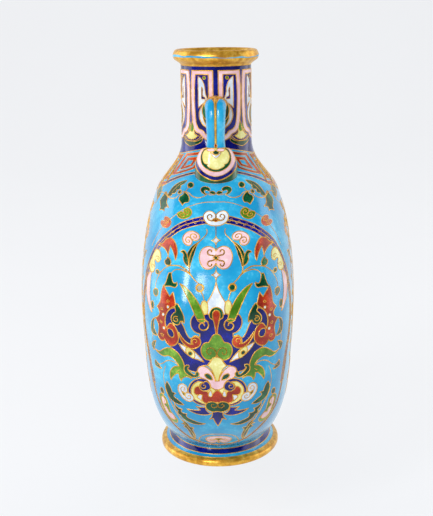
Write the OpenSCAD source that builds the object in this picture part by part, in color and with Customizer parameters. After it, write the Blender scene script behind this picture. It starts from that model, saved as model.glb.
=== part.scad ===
// Flattened round-bodied flask vase with a tall neck, an oval foot and two strap handles.
// Built from separately moulded pieces: two body halves in tiers, neck, lip, foot, base and handles.
// Origin: centre of the foot's resting face. +Z up, X through the thin way, Y along the broad way.

/* [Overall] */
// Height from the resting face to the crest of the lip
total_h = 260; // [235:1:285]

/* [Body] */
// Width of the round body, seen on its broad face
body_breadth = 196; // [176:1:206]
// Thickness of the body, seen on its narrow side
body_thickness = 97; // [88:1:104]
// Wall of the moulded body
body_wall = 4; // [3:0.5:5]

/* [Neck and lip] */
// Outer radius of the neck
neck_r = 22.2; // [21:0.1:24]
// Radius of the bore down the neck
bore_r = 18.7; // [17.5:0.1:18.7]
// Greatest radius of the rolled lip
lip_r = 27.5; // [26:0.1:29]

/* [Foot] */
// Half width of the foot's rim, the thin way
foot_half_x = 38.9; // [36:0.1:41]
// Half width of the foot's rim, the broad way
foot_half_y = 56.5; // [54:0.1:60]
// Height of the foot up to the body
foot_h = 12; // [10:0.5:14]
// Height of the gilt bead at the rim
rim_h = 4; // [3:0.5:5]

/* [Handles] */
// Half width of the strap at its middle
strap_half_w = 5.3; // [4.8:0.1:6]
// Thickness of the strap at its middle
strap_t = 5.4; // [4.5:0.1:6]
// Distance from the neck's axis to the strap's mid-line
strap_reach = 42; // [40:0.5:44]

/* [Hidden] */

turquoise = [0.16, 0.66, 0.83];
cobalt = [0.08, 0.12, 0.55];
gilt = [0.83, 0.62, 0.20];
primrose = [0.90, 0.88, 0.55];
bisque = [0.93, 0.92, 0.89];

half_segments = 24;      // ring steps round one half of the body
path_steps = 8;          // rings along each curve of the body's outline
seam_step = 180 / half_segments;
half_a = body_thickness / 2;
half_b = body_breadth / 2;
waist_a = foot_half_x - 8.9;
waist_b = foot_half_y - 8;
body_top = total_h - 57;           // the neck stands on the body here
body_rise = body_top - foot_h;
lip_seat = total_h - 11;           // the lip's seat on the neck
socket_h = 5;
socket_r = neck_r - 1.9;

// ---- curves ----------------------------------------------------------------------------------

function cubic(p, t) = pow(1 - t, 3) * p[0] + 3 * pow(1 - t, 2) * t * p[1]
                     + 3 * (1 - t) * t * t * p[2] + t * t * t * p[3];

// A chain of cubic curves through a list of 3k + 1 control points.
function chain(points, steps) = concat(
    [for (k = [0 : 3 : len(points) - 4], i = [0 : steps - 1])
        cubic([for (j = [0 : 3]) points[k + j]], i / steps)],
    [points[len(points) - 1]]);

// Height on the body, as a share of its rise from foot to neck.
function body_z(share) = foot_h + share * body_rise;

// The body's outline as one curve of rings: [half thickness, half breadth, height, squareness].
body_path = [
    [waist_a, waist_b, body_z(0), 2.1],
    [0.700 * half_a, 0.582 * half_b, body_z(0.008), 2.3],
    [0.838 * half_a, 0.776 * half_b, body_z(0.073), 2.7],
    [0.905 * half_a, 0.890 * half_b, body_z(0.173), 3.0],
    [0.953 * half_a, 0.959 * half_b, body_z(0.246), 3.1],
    [0.977 * half_a, half_b, body_z(0.356), 3.1],
    [0.992 * half_a, half_b, body_z(0.461), 3.1],
    [1.010 * half_a, half_b, body_z(0.607), 3.1],
    [0.953 * half_a, 0.857 * half_b, body_z(0.736), 2.8],
    [0.784 * half_a, 0.612 * half_b, body_z(0.840), 2.4],
    [0.656 * half_a, 0.464 * half_b, body_z(0.895), 2.2],
    [neck_r, 0.327 * half_b, body_z(0.929), 2.0],
    [neck_r, neck_r, body_z(1), 2.0]];

body_rings = chain(body_path, path_steps);

// The cavity: the same rings a wall in, squeezed between the base plate and the neck's socket.
// Its first and last rings are its two mouths, level with the body's own.
cavity_squeeze = (body_rise - body_wall - socket_h) / body_rise;
last_ring = len(body_rings) - 1;
cavity_rings = [for (i = [0 : last_ring])
    let (r = body_rings[i])
    [max(r[0] - body_wall, socket_r), max(r[1] - body_wall, socket_r),
     i == 0 ? foot_h : i == last_ring ? body_top
            : foot_h + body_wall + (r[2] - foot_h) * cavity_squeeze,
     r[3]]];

// A point on a ring at an angle: 0 on the broad face at +X, 90 on the narrow side at +Y.
function squareness_scale(c, s, n) = pow(pow(abs(c), n) + pow(abs(s), n), -1 / n);
function on_ring(ring, angle) =
    let (c = cos(angle), s = sin(angle), k = squareness_scale(c, s, ring[3]))
    [ring[0] * k * c, ring[1] * k * s, ring[2]];

// ---- solids from rings -----------------------------------------------------------------------

// Joins columns of points into a solid. Each column is a closed section whose points go out along
// one edge and come back along the other, as many each way. A full turn wraps round; otherwise the
// first and last sections are closed with a strip of faces between their two edges.
module section_solid(columns, wraps) {
    n = len(columns);
    m = len(columns[0]);
    last = wraps ? n - 1 : n - 2;
    // The bottom edge's faces are cut the other way, to match the top edge of a section below it.
    walls = [for (i = [0 : last], j = [0 : m - 1])
        let (i2 = (i + 1) % n, j2 = (j + 1) % m,
             a = i * m + j, b = i * m + j2, c = i2 * m + j2, d = i2 * m + j)
        each j == m - 1 ? [[a, b, d], [b, c, d]] : [[a, c, d], [a, b, c]]];
    end = (n - 1) * m;
    caps = wraps ? [] : [for (j = [0 : m / 2 - 2])
        each [[j, m - 2 - j, j + 1], [j, m - 1 - j, m - 2 - j],
              [end + j, end + j + 1, end + m - 2 - j], [end + j, end + m - 2 - j, end + m - 1 - j]]];
    polyhedron(points = [for (c = columns) each c], faces = concat(walls, caps), convexity = 8);
}

// A closed section at one angle: up the inner rings, then down the outer ones.
function wall_section(outer, inner, angle) = concat(
    [for (r = inner) on_ring(r, angle)],
    [for (k = [len(outer) - 1 : -1 : 0]) on_ring(outer[k], angle)]);

// ---- body ------------------------------------------------------------------------------------

// Each half is built up in six tiers, so that its hollow stays open for collision as well.
tier_ends = [0, 8, 12, 16, 20, 24, last_ring];

function rings_of(rings, tier) = [for (i = [tier_ends[tier] : tier_ends[tier + 1]]) rings[i]];

module body_tier(tier) {
    outer = rings_of(body_rings, tier);
    inner = rings_of(cavity_rings, tier);
    color(turquoise) section_solid([for (i = [0 : half_segments])
        wall_section(outer, inner, 90 - i * seam_step)], wraps = false);
}

module body_tier_left(tier) { rotate([0, 0, 180]) body_tier(tier); }

// Oval outline of a ring, as a flat polygon.
module ring_outline(ring) {
    polygon([for (i = [0 : 2 * half_segments - 1])
        let (p = on_ring(ring, i * seam_step)) [p[0], p[1]]]);
}

// Closes the opening under the body.
module base_plate() {
    color(bisque) translate([0, 0, foot_h]) linear_extrude(body_wall)
        ring_outline(cavity_rings[0]);
}

// ---- foot ------------------------------------------------------------------------------------

rim_wall = 4.4;
rim_ring = [foot_half_x, foot_half_y, rim_h, 2.0];
inner_rim = [foot_half_x - rim_wall, foot_half_y - rim_wall, 0, 2.0];

// The skirt's hollow curve, from the body down to the bead.
skirt_path = [
    [waist_a, waist_b, foot_h, 2.1],
    [waist_a + 0.8, waist_b + 0.8, foot_h - 3.4, 2.0],
    [waist_a + 3.6, waist_b + 3.4, rim_h + 1.6, 2.0],
    [foot_half_x - 0.9, foot_half_y - 0.9, rim_h, 2.0]];

module foot_skirt() {
    outer = [for (k = [path_steps : -1 : 0]) chain(skirt_path, path_steps)[k]];
    inner = [[inner_rim[0], inner_rim[1], rim_h, 2.0],
             [waist_a - body_wall, waist_b - body_wall, foot_h, 2.1]];
    color(cobalt) section_solid([for (i = [0 : 2 * half_segments - 1])
        wall_section(outer, inner, -i * seam_step)], wraps = true);
}

// The bead's rounded edge is a half turn between its seat and the resting face.
bead_r = rim_h / 2;
module foot_rim() {
    outer = [for (t = [-90 : 22.5 : 90])
        [foot_half_x - bead_r * (1 - cos(t)) * 0.55, foot_half_y - bead_r * (1 - cos(t)) * 0.55,
         bead_r * (1 + sin(t)), 2.0]];
    inner = [[inner_rim[0], inner_rim[1], 0, 2.0], [inner_rim[0], inner_rim[1], rim_h, 2.0]];
    color(gilt) section_solid([for (i = [0 : 2 * half_segments - 1])
        wall_section(outer, inner, -i * seam_step)], wraps = true);
}

// ---- neck and lip ----------------------------------------------------------------------------

spigot_h = 3;
spigot_r = 20.3;
socket_gap = 0.1;
roll_r = 3.8;                     // radius of the lip's rolled edge
roll_at = [lip_r - roll_r, total_h - roll_r];

// A tube that drops into the body's socket and carries a spigot for the lip.
module neck() {
    color(cobalt) rotate_extrude($fn = 96) polygon([
        [bore_r, body_top - socket_h + 1], [socket_r - socket_gap, body_top - socket_h + 1],
        [socket_r - socket_gap, body_top], [neck_r, body_top],
        [neck_r, lip_seat], [spigot_r, lip_seat],
        [spigot_r, lip_seat + spigot_h], [bore_r, lip_seat + spigot_h]]);
}

module lip() {
    color(gilt) rotate_extrude($fn = 96) polygon(concat(
        [[spigot_r, lip_seat + spigot_h], [spigot_r, lip_seat], [neck_r, lip_seat]],
        [for (t = [-50 : 10 : 180]) roll_at + roll_r * [cos(t), sin(t)]],
        [[bore_r + 0.4, lip_seat + spigot_h + 1.6], [bore_r, lip_seat + spigot_h]]));
}

// ---- handles ---------------------------------------------------------------------------------

// Front handles stand on the narrow side at -Y; the back ones are the same turned half round.
root_r = 8.7;
root_z = total_h - 36.5;
root_out = 33;                    // how far the root's flat face stands from the neck's axis
shield_top = total_h - 58.5;        // the strap stands on the shield here
strap_columns = 12;

// The strap's mid-line in the YZ plane, from the root's face to the shield's top.
strap_path = [
    [root_out, root_z + 4.2],
    [root_out + 6.4, root_z + 4.2], [strap_reach + 0.4, root_z + 2], [strap_reach + 0.4, root_z - 7],
    [strap_reach + 0.4, root_z - 12], [strap_reach - 0.4, shield_top + 5], [strap_reach, shield_top]];

function strap_mid(s) = chain(strap_path, strap_columns / 2)[s];

// The mid-line's direction turns from straight out to straight down over its first curve.
function strap_turn(s) = s >= strap_columns / 2 ? 90 : 90 * s / (strap_columns / 2);
function strap_width(s) =
    let (t = s / strap_columns) strap_half_w + 1.5 * pow(1 - t, 3) + 0.6 * pow(t, 8);
function strap_depth(s) = let (t = s / strap_columns) strap_t + 2.2 * pow(1 - t, 3);

// Across the strap: two rounded lobes in front with a groove between them, nearly flat behind.
lobe_h = 0.72;                    // height of the lobes over the strap's depth
groove_share = 0.14;              // half width of the groove's floor over that of the strap
lobe_stops = [-1, -0.93, -0.75, -0.5, -0.28, -groove_share, groove_share, 0.28, 0.5, 0.75, 0.93, 1];
function lobe(x) = abs(x) >= 1 ? 0
    : pow(1 - pow(abs(x), 2.6), 0.5) * (1 - 0.32 * pow(1 - min(1, abs(x) / 0.5), 2));
function back(x) = -0.12 - 0.18 * pow(1 - pow(abs(x), 4), 0.5);
last_stop = len(lobe_stops) - 1;

// A strap point: x across, h out from the mid-line, as shares of the width and the depth.
function strap_point(s, x, h) =
    let (m = strap_mid(s), a = strap_turn(s), d = h * strap_depth(s) - 0.22 * strap_depth(s))
    [x * strap_width(s), -(m[0] + d * sin(a)), m[1] + d * cos(a)];

module handle_strap() {
    color(turquoise) section_solid([for (s = [0 : strap_columns]) concat(
        [for (x = lobe_stops) strap_point(s, x, lobe_h * lobe(x))],
        [for (k = [last_stop : -1 : 0]) strap_point(s, lobe_stops[k], back(lobe_stops[k]))])],
        wraps = false);
}

// A gilt rib that stands on the groove's floor, a little above the lobes.
rib_stops = [-groove_share, 0, groove_share];
rib_h = 0.14;
module handle_rib() {
    seat = lobe_h * lobe(groove_share);
    color(gilt) section_solid([for (s = [0 : strap_columns]) concat(
        [for (x = rib_stops) strap_point(s, x, seat + (x == 0 ? rib_h : rib_h / 4))],
        [for (k = [2 : -1 : 0]) strap_point(s, rib_stops[k], seat)])], wraps = false);
}

// A round stub that carries the strap out from the neck.
module handle_root() {
    color(gilt) difference() {
        translate([0, 0, root_z]) rotate([90, 0, 0]) rotate_extrude($fn = 48) polygon([
            [0, neck_r - 6], [root_r, neck_r - 6], [root_r, root_out - 3.2],
            [root_r - 0.5, root_out - 1.4], [root_r - 1.4, root_out], [0, root_out]]);
        cylinder(r = neck_r, h = total_h, $fn = 96);
    }
}

// Height of the body's shoulder over a plan point, found by halving between two rings.
function outside(ring, x, y) = pow(abs(x) / ring[0], ring[3]) + pow(abs(y) / ring[1], ring[3]) > 1;
shoulder_curve = [for (k = [6 : 9]) body_path[k]];
collar_curve = [for (k = [9 : 12]) body_path[k]];
function ring_on_shoulder(t) = t < 1 ? cubic(shoulder_curve, t) : cubic(collar_curve, t - 1);
function shoulder_z(x, y, low = 0, high = 2, left = 22) =
    left == 0 ? ring_on_shoulder(low)[2]
    : let (mid = (low + high) / 2)
      outside(ring_on_shoulder(mid), x, y) ? shoulder_z(x, y, low, mid, left - 1)
                                           : shoulder_z(x, y, mid, high, left - 1);

// The shield's plan: a rounded petal on the shoulder, pointing away from the neck.
shield_half_w = 13.1;
shield_half_l = 10.8;
shield_mid = strap_reach - 3.9;
function petal(angle) =
    let (w = shield_half_w * (1 - 0.12 * pow(max(0, -sin(angle)), 1.5)),
         l = shield_half_l * (sin(angle) > 0 ? 1 : 0.85))
    [w * cos(angle), -(shield_mid + l * sin(angle))];
shield_segments = 24;
shield_rings = 6;

// Widening from the strap's foot to the petal in a quarter turn, so the sides end upright.
function shield_point(angle, w) =
    let (base = petal(angle), down = shoulder_z(base[0], base[1]) - 0.2,
         top = [strap_width(strap_columns) * cos(angle),
                -(strap_reach + 0.5 * strap_t * sin(angle))])
    [top[0] + (base[0] - top[0]) * sin(90 * w), top[1] + (base[1] - top[1]) * sin(90 * w),
     shield_top - (shield_top - down) * (1 - cos(90 * w))];

// The underside follows the shoulder from the petal's edge to its middle.
function shield_under(angle, w) =
    let (p = petal(angle), x = p[0] * w, y = -shield_mid + (p[1] + shield_mid) * w)
    [x, y, shoulder_z(x, y) - 0.2];

module handle_shield() {
    step = 360 / shield_segments;
    top = [for (k = [0 : shield_rings], i = [0 : shield_segments - 1])
        shield_point(-i * step, k / shield_rings)];
    under = [for (k = [2 : -1 : 1], i = [0 : shield_segments - 1])
        shield_under(-i * step, k / 3)];
    rings = shield_rings + 3;
    middle = [0, -shield_mid, shoulder_z(0, -shield_mid) - 0.2];
    count = rings * shield_segments;
    function at(k, i) = k * shield_segments + i % shield_segments;
    sides = [for (k = [0 : rings - 2], i = [0 : shield_segments - 1])
        each [[at(k, i), at(k, i + 1), at(k + 1, i + 1)], [at(k, i), at(k + 1, i + 1), at(k + 1, i)]]];
    floor_faces = [for (i = [0 : shield_segments - 1]) [at(rings - 1, i), at(rings - 1, i + 1), count]];
    lid = [[for (i = [shield_segments - 1 : -1 : 0]) i]];
    color(primrose) polyhedron(points = concat(top, under, [middle]),
                               faces = concat(sides, floor_faces, lid), convexity = 4);
}

module other_side() { rotate([0, 0, 180]) children(); }

body_tier_left(0);  // body_foot_left
body_tier(0);  // body_foot_right
body_tier_left(1);  // body_lower_left
body_tier(1);  // body_lower_right
body_tier_left(2);  // body_middle_left
body_tier(2);  // body_middle_right
body_tier_left(3);  // body_upper_left
body_tier(3);  // body_upper_right
body_tier_left(4);  // body_shoulder_left
body_tier(4);  // body_shoulder_right
body_tier_left(5);  // body_collar_left
body_tier(5);  // body_collar_right
base_plate();
foot_skirt();
foot_rim();
neck();
lip();
handle_root();  // handle_root_front
handle_strap();  // handle_strap_front
handle_rib();  // handle_rib_front
handle_shield();  // handle_shield_front
other_side() handle_root();  // handle_root_back
other_side() handle_strap();  // handle_strap_back
other_side() handle_rib();  // handle_rib_back
other_side() handle_shield();  // handle_shield_back
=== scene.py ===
# Flask vase in the cloisonne manner: enamel cells between flat gilt lines, laid over the moulded body.
# Everything is drawn in millimetres and set down in metres.
import math

import bpy
import numpy as np
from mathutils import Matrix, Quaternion, Vector
from mathutils.geometry import delaunay_2d_cdt


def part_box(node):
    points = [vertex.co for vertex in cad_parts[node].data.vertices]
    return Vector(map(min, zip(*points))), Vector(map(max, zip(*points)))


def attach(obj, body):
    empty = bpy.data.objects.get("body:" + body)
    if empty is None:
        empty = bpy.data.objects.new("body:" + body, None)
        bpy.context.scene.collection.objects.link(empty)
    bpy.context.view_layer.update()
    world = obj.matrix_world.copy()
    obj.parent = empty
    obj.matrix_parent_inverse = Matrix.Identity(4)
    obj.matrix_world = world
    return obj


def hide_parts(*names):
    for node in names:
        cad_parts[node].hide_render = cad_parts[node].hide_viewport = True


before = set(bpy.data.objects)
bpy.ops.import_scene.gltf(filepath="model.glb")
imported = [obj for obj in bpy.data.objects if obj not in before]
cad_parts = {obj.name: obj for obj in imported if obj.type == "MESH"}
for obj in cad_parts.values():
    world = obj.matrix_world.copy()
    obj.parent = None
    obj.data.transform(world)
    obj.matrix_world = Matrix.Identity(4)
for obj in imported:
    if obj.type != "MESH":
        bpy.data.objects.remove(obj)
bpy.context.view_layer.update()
MM = 0.001

# ---- sizes, from the frame ----------------------------------------------------------------------


def span(node):
    """A node's lowest and highest corner in millimetres."""
    low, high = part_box(node)
    return np.array(low) / MM, np.array(high) / MM


BODY_NODES = sorted(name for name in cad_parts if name.startswith("body_"))
BODY_HIGH = np.max([span(name)[1] for name in BODY_NODES], axis=0)
TOTAL_H = span("lip")[1][2]
NECK_R = span("neck")[1][0]
LIP_R = span("lip")[1][0]
FOOT_X, FOOT_Y, RIM_H = span("foot_rim")[1]
FOOT_H = span("foot_skirt")[1][2]
HALF_Y = BODY_HIGH[1]
HALF_X = BODY_HIGH[0] * 1.0049  # the outline's control value is a little wider
BODY_TOP = BODY_HIGH[2]
LIP_SEAT = span("lip")[0][2]
RISE = BODY_TOP - FOOT_H

ENAMEL_T = 0.35  # how far the fired enamel stands over the moulded body
ENAMEL_ROOT = 0.15  # how far it is keyed into the body
GRID = 2.6  # spacing of the surface's inner points
RIM_STEP = 1.2  # spacing of points round a sheet's rim
SAME_PLACE = 0.003  # points nearer than this are one point
STEP = 0.55  # spacing of points along an outline
LINE_R = 0.36  # half width of a common gilt line

# ---- the moulded surface ------------------------------------------------------------------------

# Rings as shares: [half thickness, half breadth, rise above the foot, squareness].
BODY_CURVE = [
    [0.6186, 0.4949, 0.000, 2.1],
    [0.700, 0.582, 0.008, 2.3],
    [0.838, 0.776, 0.073, 2.7],
    [0.905, 0.890, 0.173, 3.0],
    [0.953, 0.959, 0.246, 3.1],
    [0.977, 1.000, 0.356, 3.1],
    [0.992, 1.000, 0.461, 3.1],
    [1.010, 1.000, 0.607, 3.1],
    [0.953, 0.857, 0.736, 2.8],
    [0.784, 0.612, 0.840, 2.4],
    [0.656, 0.464, 0.895, 2.2],
    [NECK_R / HALF_X, 0.327, 0.929, 2.0],
    [NECK_R / HALF_X, NECK_R / HALF_Y, 1.000, 2.0],
]


def chain(points, steps=120):
    """Points along cubic curves that share their end points."""
    points = np.array(points, float)
    t = np.linspace(0, 1, steps, endpoint=False)[:, None]
    out = []
    for k in range(0, len(points) - 1, 3):
        p = points[k : k + 4]
        out.append((1 - t) ** 3 * p[0] + 3 * (1 - t) ** 2 * t * p[1]
                   + 3 * (1 - t) * t * t * p[2] + t**3 * p[3])
    return np.vstack(out + [points[-1:]])


def moulded_rings():
    """Rings [a, b, z, squareness] from the foot's bead to the lip's seat, and the height v along each."""
    waist_x, waist_y = FOOT_X - 8.9, FOOT_Y - 8.0
    skirt = chain(
        [
            [FOOT_X - 0.9, FOOT_Y - 0.9, RIM_H, 2.0],
            [waist_x + 3.6, waist_y + 3.4, RIM_H + 1.6, 2.0],
            [waist_x + 0.8, waist_y + 0.8, FOOT_H - 3.4, 2.0],
            [waist_x, waist_y, FOOT_H, 2.1],
        ]
    )[:-1]
    shares = np.array(BODY_CURVE)
    control = shares * [HALF_X, HALF_Y, RISE, 1] + [0, 0, FOOT_H, 0]
    control[0, :2] = waist_x, waist_y
    body = chain(control)
    neck_z = np.linspace(BODY_TOP, LIP_SEAT + 1.0, 60)[1:]
    neck = np.column_stack([np.full_like(neck_z, NECK_R)] * 2 + [neck_z, np.full_like(neck_z, 2.0)])
    rings = np.vstack([skirt, body, neck])
    v = np.concatenate([[0], np.cumsum(np.hypot(np.diff(rings[:, 1]), np.diff(rings[:, 2])))])
    return rings, v - v[len(skirt)]


RINGS, RING_V = moulded_rings()
V_LOW, V_HIGH = RING_V[0], RING_V[-1]
V_NECK = np.interp(BODY_TOP, RINGS[:, 2], RING_V)
QUARTER = 150.0  # a quarter ring counts as this many millimetres on the drawing sheet
TURN_STEPS = 96
EDGE_ON = 0.99999  # a panel stops just short of where it is seen edge on


def turn_table():
    """For each ring, the angle reached at even shares of its quarter's length."""
    t = np.linspace(0, math.pi / 2, 4 * TURN_STEPS + 1)[None, :]
    a, b, _, n = (RINGS[:, k : k + 1] for k in range(4))
    k = (np.abs(np.sin(t)) ** n + np.abs(np.cos(t)) ** n) ** (-1 / n)
    x, y = a * k * np.sin(t), b * k * np.cos(t)
    length = np.hstack([np.zeros((len(a), 1)), np.cumsum(np.hypot(np.diff(x), np.diff(y)), axis=1)])
    even = np.linspace(0, 1, TURN_STEPS + 1)
    table = np.array([np.interp(even * row[-1], row, t[0]) for row in length])
    return table, length[:, -1]


TURN, QUARTER_LENGTH = turn_table()


def ring_at(v):
    return [np.interp(v, RING_V, RINGS[:, k]) for k in range(4)]


def surface(u, v):
    """Point of the moulded surface. u counts quarters from the front's middle, v is the height along it."""
    u, v = np.broadcast_arrays(np.asarray(u, float), np.asarray(v, float))
    u = (u + 2) % 4 - 2
    side = np.where(u < 0, -1.0, 1.0)
    back = np.abs(u) > 1
    share = np.clip(np.where(back, 2 - np.abs(u), np.abs(u)), 0, 1) * TURN_STEPS
    row = np.interp(v, RING_V, np.arange(len(RING_V)))
    c0 = np.minimum(share.astype(int), TURN_STEPS - 1)
    r0 = np.minimum(row.astype(int), len(RING_V) - 2)
    fc, fr = share - c0, row - r0
    turn = (TURN[r0, c0] * (1 - fc) + TURN[r0, c0 + 1] * fc) * (1 - fr)
    turn = turn + (TURN[r0 + 1, c0] * (1 - fc) + TURN[r0 + 1, c0 + 1] * fc) * fr
    a, b, z, n = ring_at(v)
    k = (np.abs(np.sin(turn)) ** n + np.abs(np.cos(turn)) ** n) ** (-1 / n)
    x = side * a * k * np.sin(turn)
    y = np.where(back, 1.0, -1.0) * b * k * np.cos(turn)
    return np.stack([x, y, z], -1)


def outward(u, v):
    """Unit normals of the moulded surface."""
    du, dv = 0.004, 0.25
    along = surface(u + du, v) - surface(u - du, v)
    low, high = np.maximum(v - dv, V_LOW), np.minimum(v + dv, V_HIGH)
    up = surface(u, high) - surface(u, low)
    n = np.cross(along, up)
    return n / np.linalg.norm(n, axis=-1, keepdims=True)


# ---- drawing panels: each turns its own millimetres into the sheet's (u, v) ----------------------


def as_drawn(points):
    """Straight onto the sheet."""
    return np.array(points, float)


def quarter_share(turn, v):
    """How far round its quarter each angle lies, at height v along the surface."""
    row = np.interp(v, RING_V, np.arange(len(RING_V)))
    r0 = np.minimum(row.astype(int), len(RING_V) - 2)
    fr = (row - r0)[:, None]
    rows = TURN[r0] * (1 - fr) + TURN[r0 + 1] * fr
    return np.array([np.interp(q, r, np.linspace(0, 1, TURN_STEPS + 1)) for q, r in zip(turn, rows)])


def narrow(points):
    """The narrow side: x from its middle line, t up along it from the foot."""
    x, t = np.array(points, float).T
    a, _, _, n = ring_at(t)
    x_in = np.clip(np.abs(x) / a, 0, EDGE_ON)
    turn = np.arctan2(x_in, (1 - x_in**n) ** (1 / n))
    return np.column_stack([np.sign(x) * quarter_share(turn, t), t])


def broad(points):
    """A broad face: w from its middle towards the front, z up from the table."""
    w, z = np.array(points, float).T
    v = np.interp(z, RINGS[:, 2], RING_V)
    _, b, _, n = ring_at(v)
    w_in = np.clip(np.abs(w) / b, 0, EDGE_ON)
    turn = np.arctan2((1 - w_in**n) ** (1 / n), w_in)
    u = quarter_share(turn, v)
    return np.column_stack([np.where(w >= 0, u, 2 - u), v])


def neck_panel(points):
    """The neck: s round it from the middle of a handle, z up from the body's top."""
    s, z = np.array(points, float).T
    return np.column_stack([s / (NECK_R * math.pi / 2), V_NECK + z])


# ---- drawing tools ------------------------------------------------------------------------------


def smooth(points, closed=True, step=STEP):
    """A drawn line through the points, bending evenly; a third value marks a sharp corner."""
    pts = np.array([p[:2] for p in points], float)
    sharp = [len(p) > 2 for p in points]
    count = len(pts)
    chord = np.roll(pts, -1, 0) - pts
    size = np.linalg.norm(chord, axis=1)
    unit = chord / np.maximum(size, 1e-9)[:, None]
    tangent = unit + np.roll(unit, 1, 0)
    tangent /= np.maximum(np.linalg.norm(tangent, axis=1), 1e-9)[:, None]
    out = []
    for k in range(count if closed else count - 1):
        j = (k + 1) % count
        open_start = sharp[k] or (not closed and k == 0)
        open_end = sharp[j] or (not closed and j == count - 1)
        m0 = unit[k] if open_start and open_end else 2 * unit[k] - tangent[j] if open_start else tangent[k]
        m1 = unit[k] if open_start and open_end else 2 * unit[k] - tangent[k] if open_end else tangent[j]
        t = np.linspace(0, 1, max(2, int(size[k] / step) + 2))[:-1, None]
        out.append(
            (2 * t**3 - 3 * t**2 + 1) * pts[k]
            + (t**3 - 2 * t**2 + t) * m0 * size[k]
            + (3 * t**2 - 2 * t**3) * pts[j]
            + (t**3 - t**2) * m1 * size[k]
        )
    if not closed:
        out.append(pts[-1:])
    return np.vstack(out)


def both(points):
    """A closed outline from its right half, listed from the top of the middle line to its foot."""
    return list(points) + [(-p[0], *p[1:]) for p in reversed(points) if abs(p[0]) > 1e-6]


def oval(cx, cy, rx, ry=None, turn=0):
    ry = rx if ry is None else ry
    a = np.radians(np.arange(0, 360, 30))
    c, s = math.cos(math.radians(turn)), math.sin(math.radians(turn))
    return [(cx + rx * math.cos(q) * c - ry * math.sin(q) * s,
             cy + rx * math.cos(q) * s + ry * math.sin(q) * c) for q in a]


def swell(points, widths):
    """A brush stroke's outline: a middle line with a half width at each of its points."""
    line_in = smooth(points, closed=False)
    keys = np.linspace(0, 1, len(widths))
    w = np.interp(np.linspace(0, 1, len(line_in)), keys, widths)[:, None]
    ahead = np.gradient(line_in, axis=0)
    ahead /= np.maximum(np.linalg.norm(ahead, axis=1), 1e-9)[:, None]
    side = np.column_stack([-ahead[:, 1], ahead[:, 0]])
    return np.vstack([line_in + side * w, (line_in - side * w)[::-1]])


def spiral(cx, cy, r_out, r_in, start, turns):
    """A curl from its outside in; a negative number of turns runs clockwise."""
    q = np.linspace(0, 1, max(8, int(abs(turns) * 14)))
    a = np.radians(start) + q * turns * 2 * math.pi
    r = r_out + (r_in - r_out) * q
    return np.column_stack([cx + r * np.cos(a), cy + r * np.sin(a)])


def placed(points, at=(0, 0), turn=0, size=1.0, flip=False):
    c, s = math.cos(math.radians(turn)) * size, math.sin(math.radians(turn)) * size
    out = []
    for p in points:
        x = -p[0] if flip else p[0]
        out.append((at[0] + x * c - p[1] * s, at[1] + x * s + p[1] * c, *tuple(p[2:3])))
    return out


class Drawing:
    """Enamel cells in painting order, and gilt lines, on the (u, v) sheet of a surface."""

    def __init__(self):
        self.cells = []
        self.lines = []
        self.panel = None
        self.twins = {}

    def cell(self, colour, points, line=LINE_R, drawn=False):
        outline = np.array(points, float) if drawn else smooth(points)
        self.cells.append((colour, self.panel(outline), line))

    def line(self, points, width=(1.0, 1.0), drawn=False):
        path = np.array(points, float) if drawn else smooth(points, closed=False)
        w = np.interp(np.linspace(0, 1, len(path)), np.linspace(0, 1, len(width)), width)
        self.lines.append((self.panel(path), w * LINE_R))


body = Drawing()

# ---- shader expressions --------------------------------------------------------------------------


class Value:
    """Wraps a shader socket, so that sums written in Python add their nodes."""

    def __init__(self, material, socket=None):
        self.material = material
        self.socket = socket

    def node(self, kind, settings=None, **inputs):
        """Any node: its settings first, then its inputs by name (or in_0, in_1 by number)."""
        made = self.material.node_tree.nodes.new(kind)
        for key, value in (settings or {}).items():
            setattr(made, key, value)
        for key, value in inputs.items():
            by_name = key.replace("_", " ")
            socket = made.inputs[int(key[3:])] if key.startswith("in_") else made.inputs[by_name]
            if isinstance(value, Value):
                self.material.node_tree.links.new(value.socket, socket)
            else:
                socket.default_value = value
        return made

    def out(self, made, name=0):
        return Value(self.material, made.outputs[name])

    def sum(self, operation, first, second):
        return self.out(self.node("ShaderNodeMath", {"operation": operation}, in_0=first, in_1=second))

    def __add__(self, other):
        return self.sum("ADD", self, other)

    __radd__ = __add__

    def __mul__(self, other):
        return self.sum("MULTIPLY", self, other)

    __rmul__ = __mul__

    def between(self, low, high):
        """0 below low, 1 above high."""
        made = self.node("ShaderNodeMapRange", {"interpolation_type": "SMOOTHSTEP"},
                         Value=self, From_Min=low, From_Max=high)
        return self.out(made)


def rgb(code):
    """Linear colour from a hex code."""
    parts = [int(code[k : k + 2], 16) / 255 for k in (0, 2, 4)]
    return tuple(p / 12.92 if p <= 0.04045 else ((p + 0.055) / 1.055) ** 2.4 for p in parts) + (1.0,)


def mix(start, share, low, high):
    """A colour between two others."""
    blend = {"data_type": "RGBA", "blend_type": "MIX"}
    made = start.node("ShaderNodeMix", blend, in_0=share, in_6=low, in_7=high)
    return start.out(made, 2)


def new_material(name):
    material = bpy.data.materials.new(name)
    material.use_nodes = True
    start = Value(material)
    shader = material.node_tree.nodes["Principled BSDF"]
    place = start.out(start.node("ShaderNodeTexCoord"), "Object")
    return material, start, shader, place


def noise(start, place, scale, detail=3.0, roughness=0.55):
    made = start.node("ShaderNodeTexNoise", Vector=place, Scale=scale, Detail=detail, Roughness=roughness)
    return start.out(made, "Fac")


def shader_link(start, shader, name, value):
    start.material.node_tree.links.new(value.socket, shader.inputs[name])


def vary(start, shader, colour, roughness, height, strength, depth):
    """The three things that vary over a finish: colour, roughness, and a fine relief depth metres deep."""
    shader_link(start, shader, "Base Color", colour)
    shader_link(start, shader, "Roughness", roughness)
    bump = start.node("ShaderNodeBump", Strength=strength, Distance=depth, Height=height)
    shader_link(start, shader, "Normal", start.out(bump, "Normal"))


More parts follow.
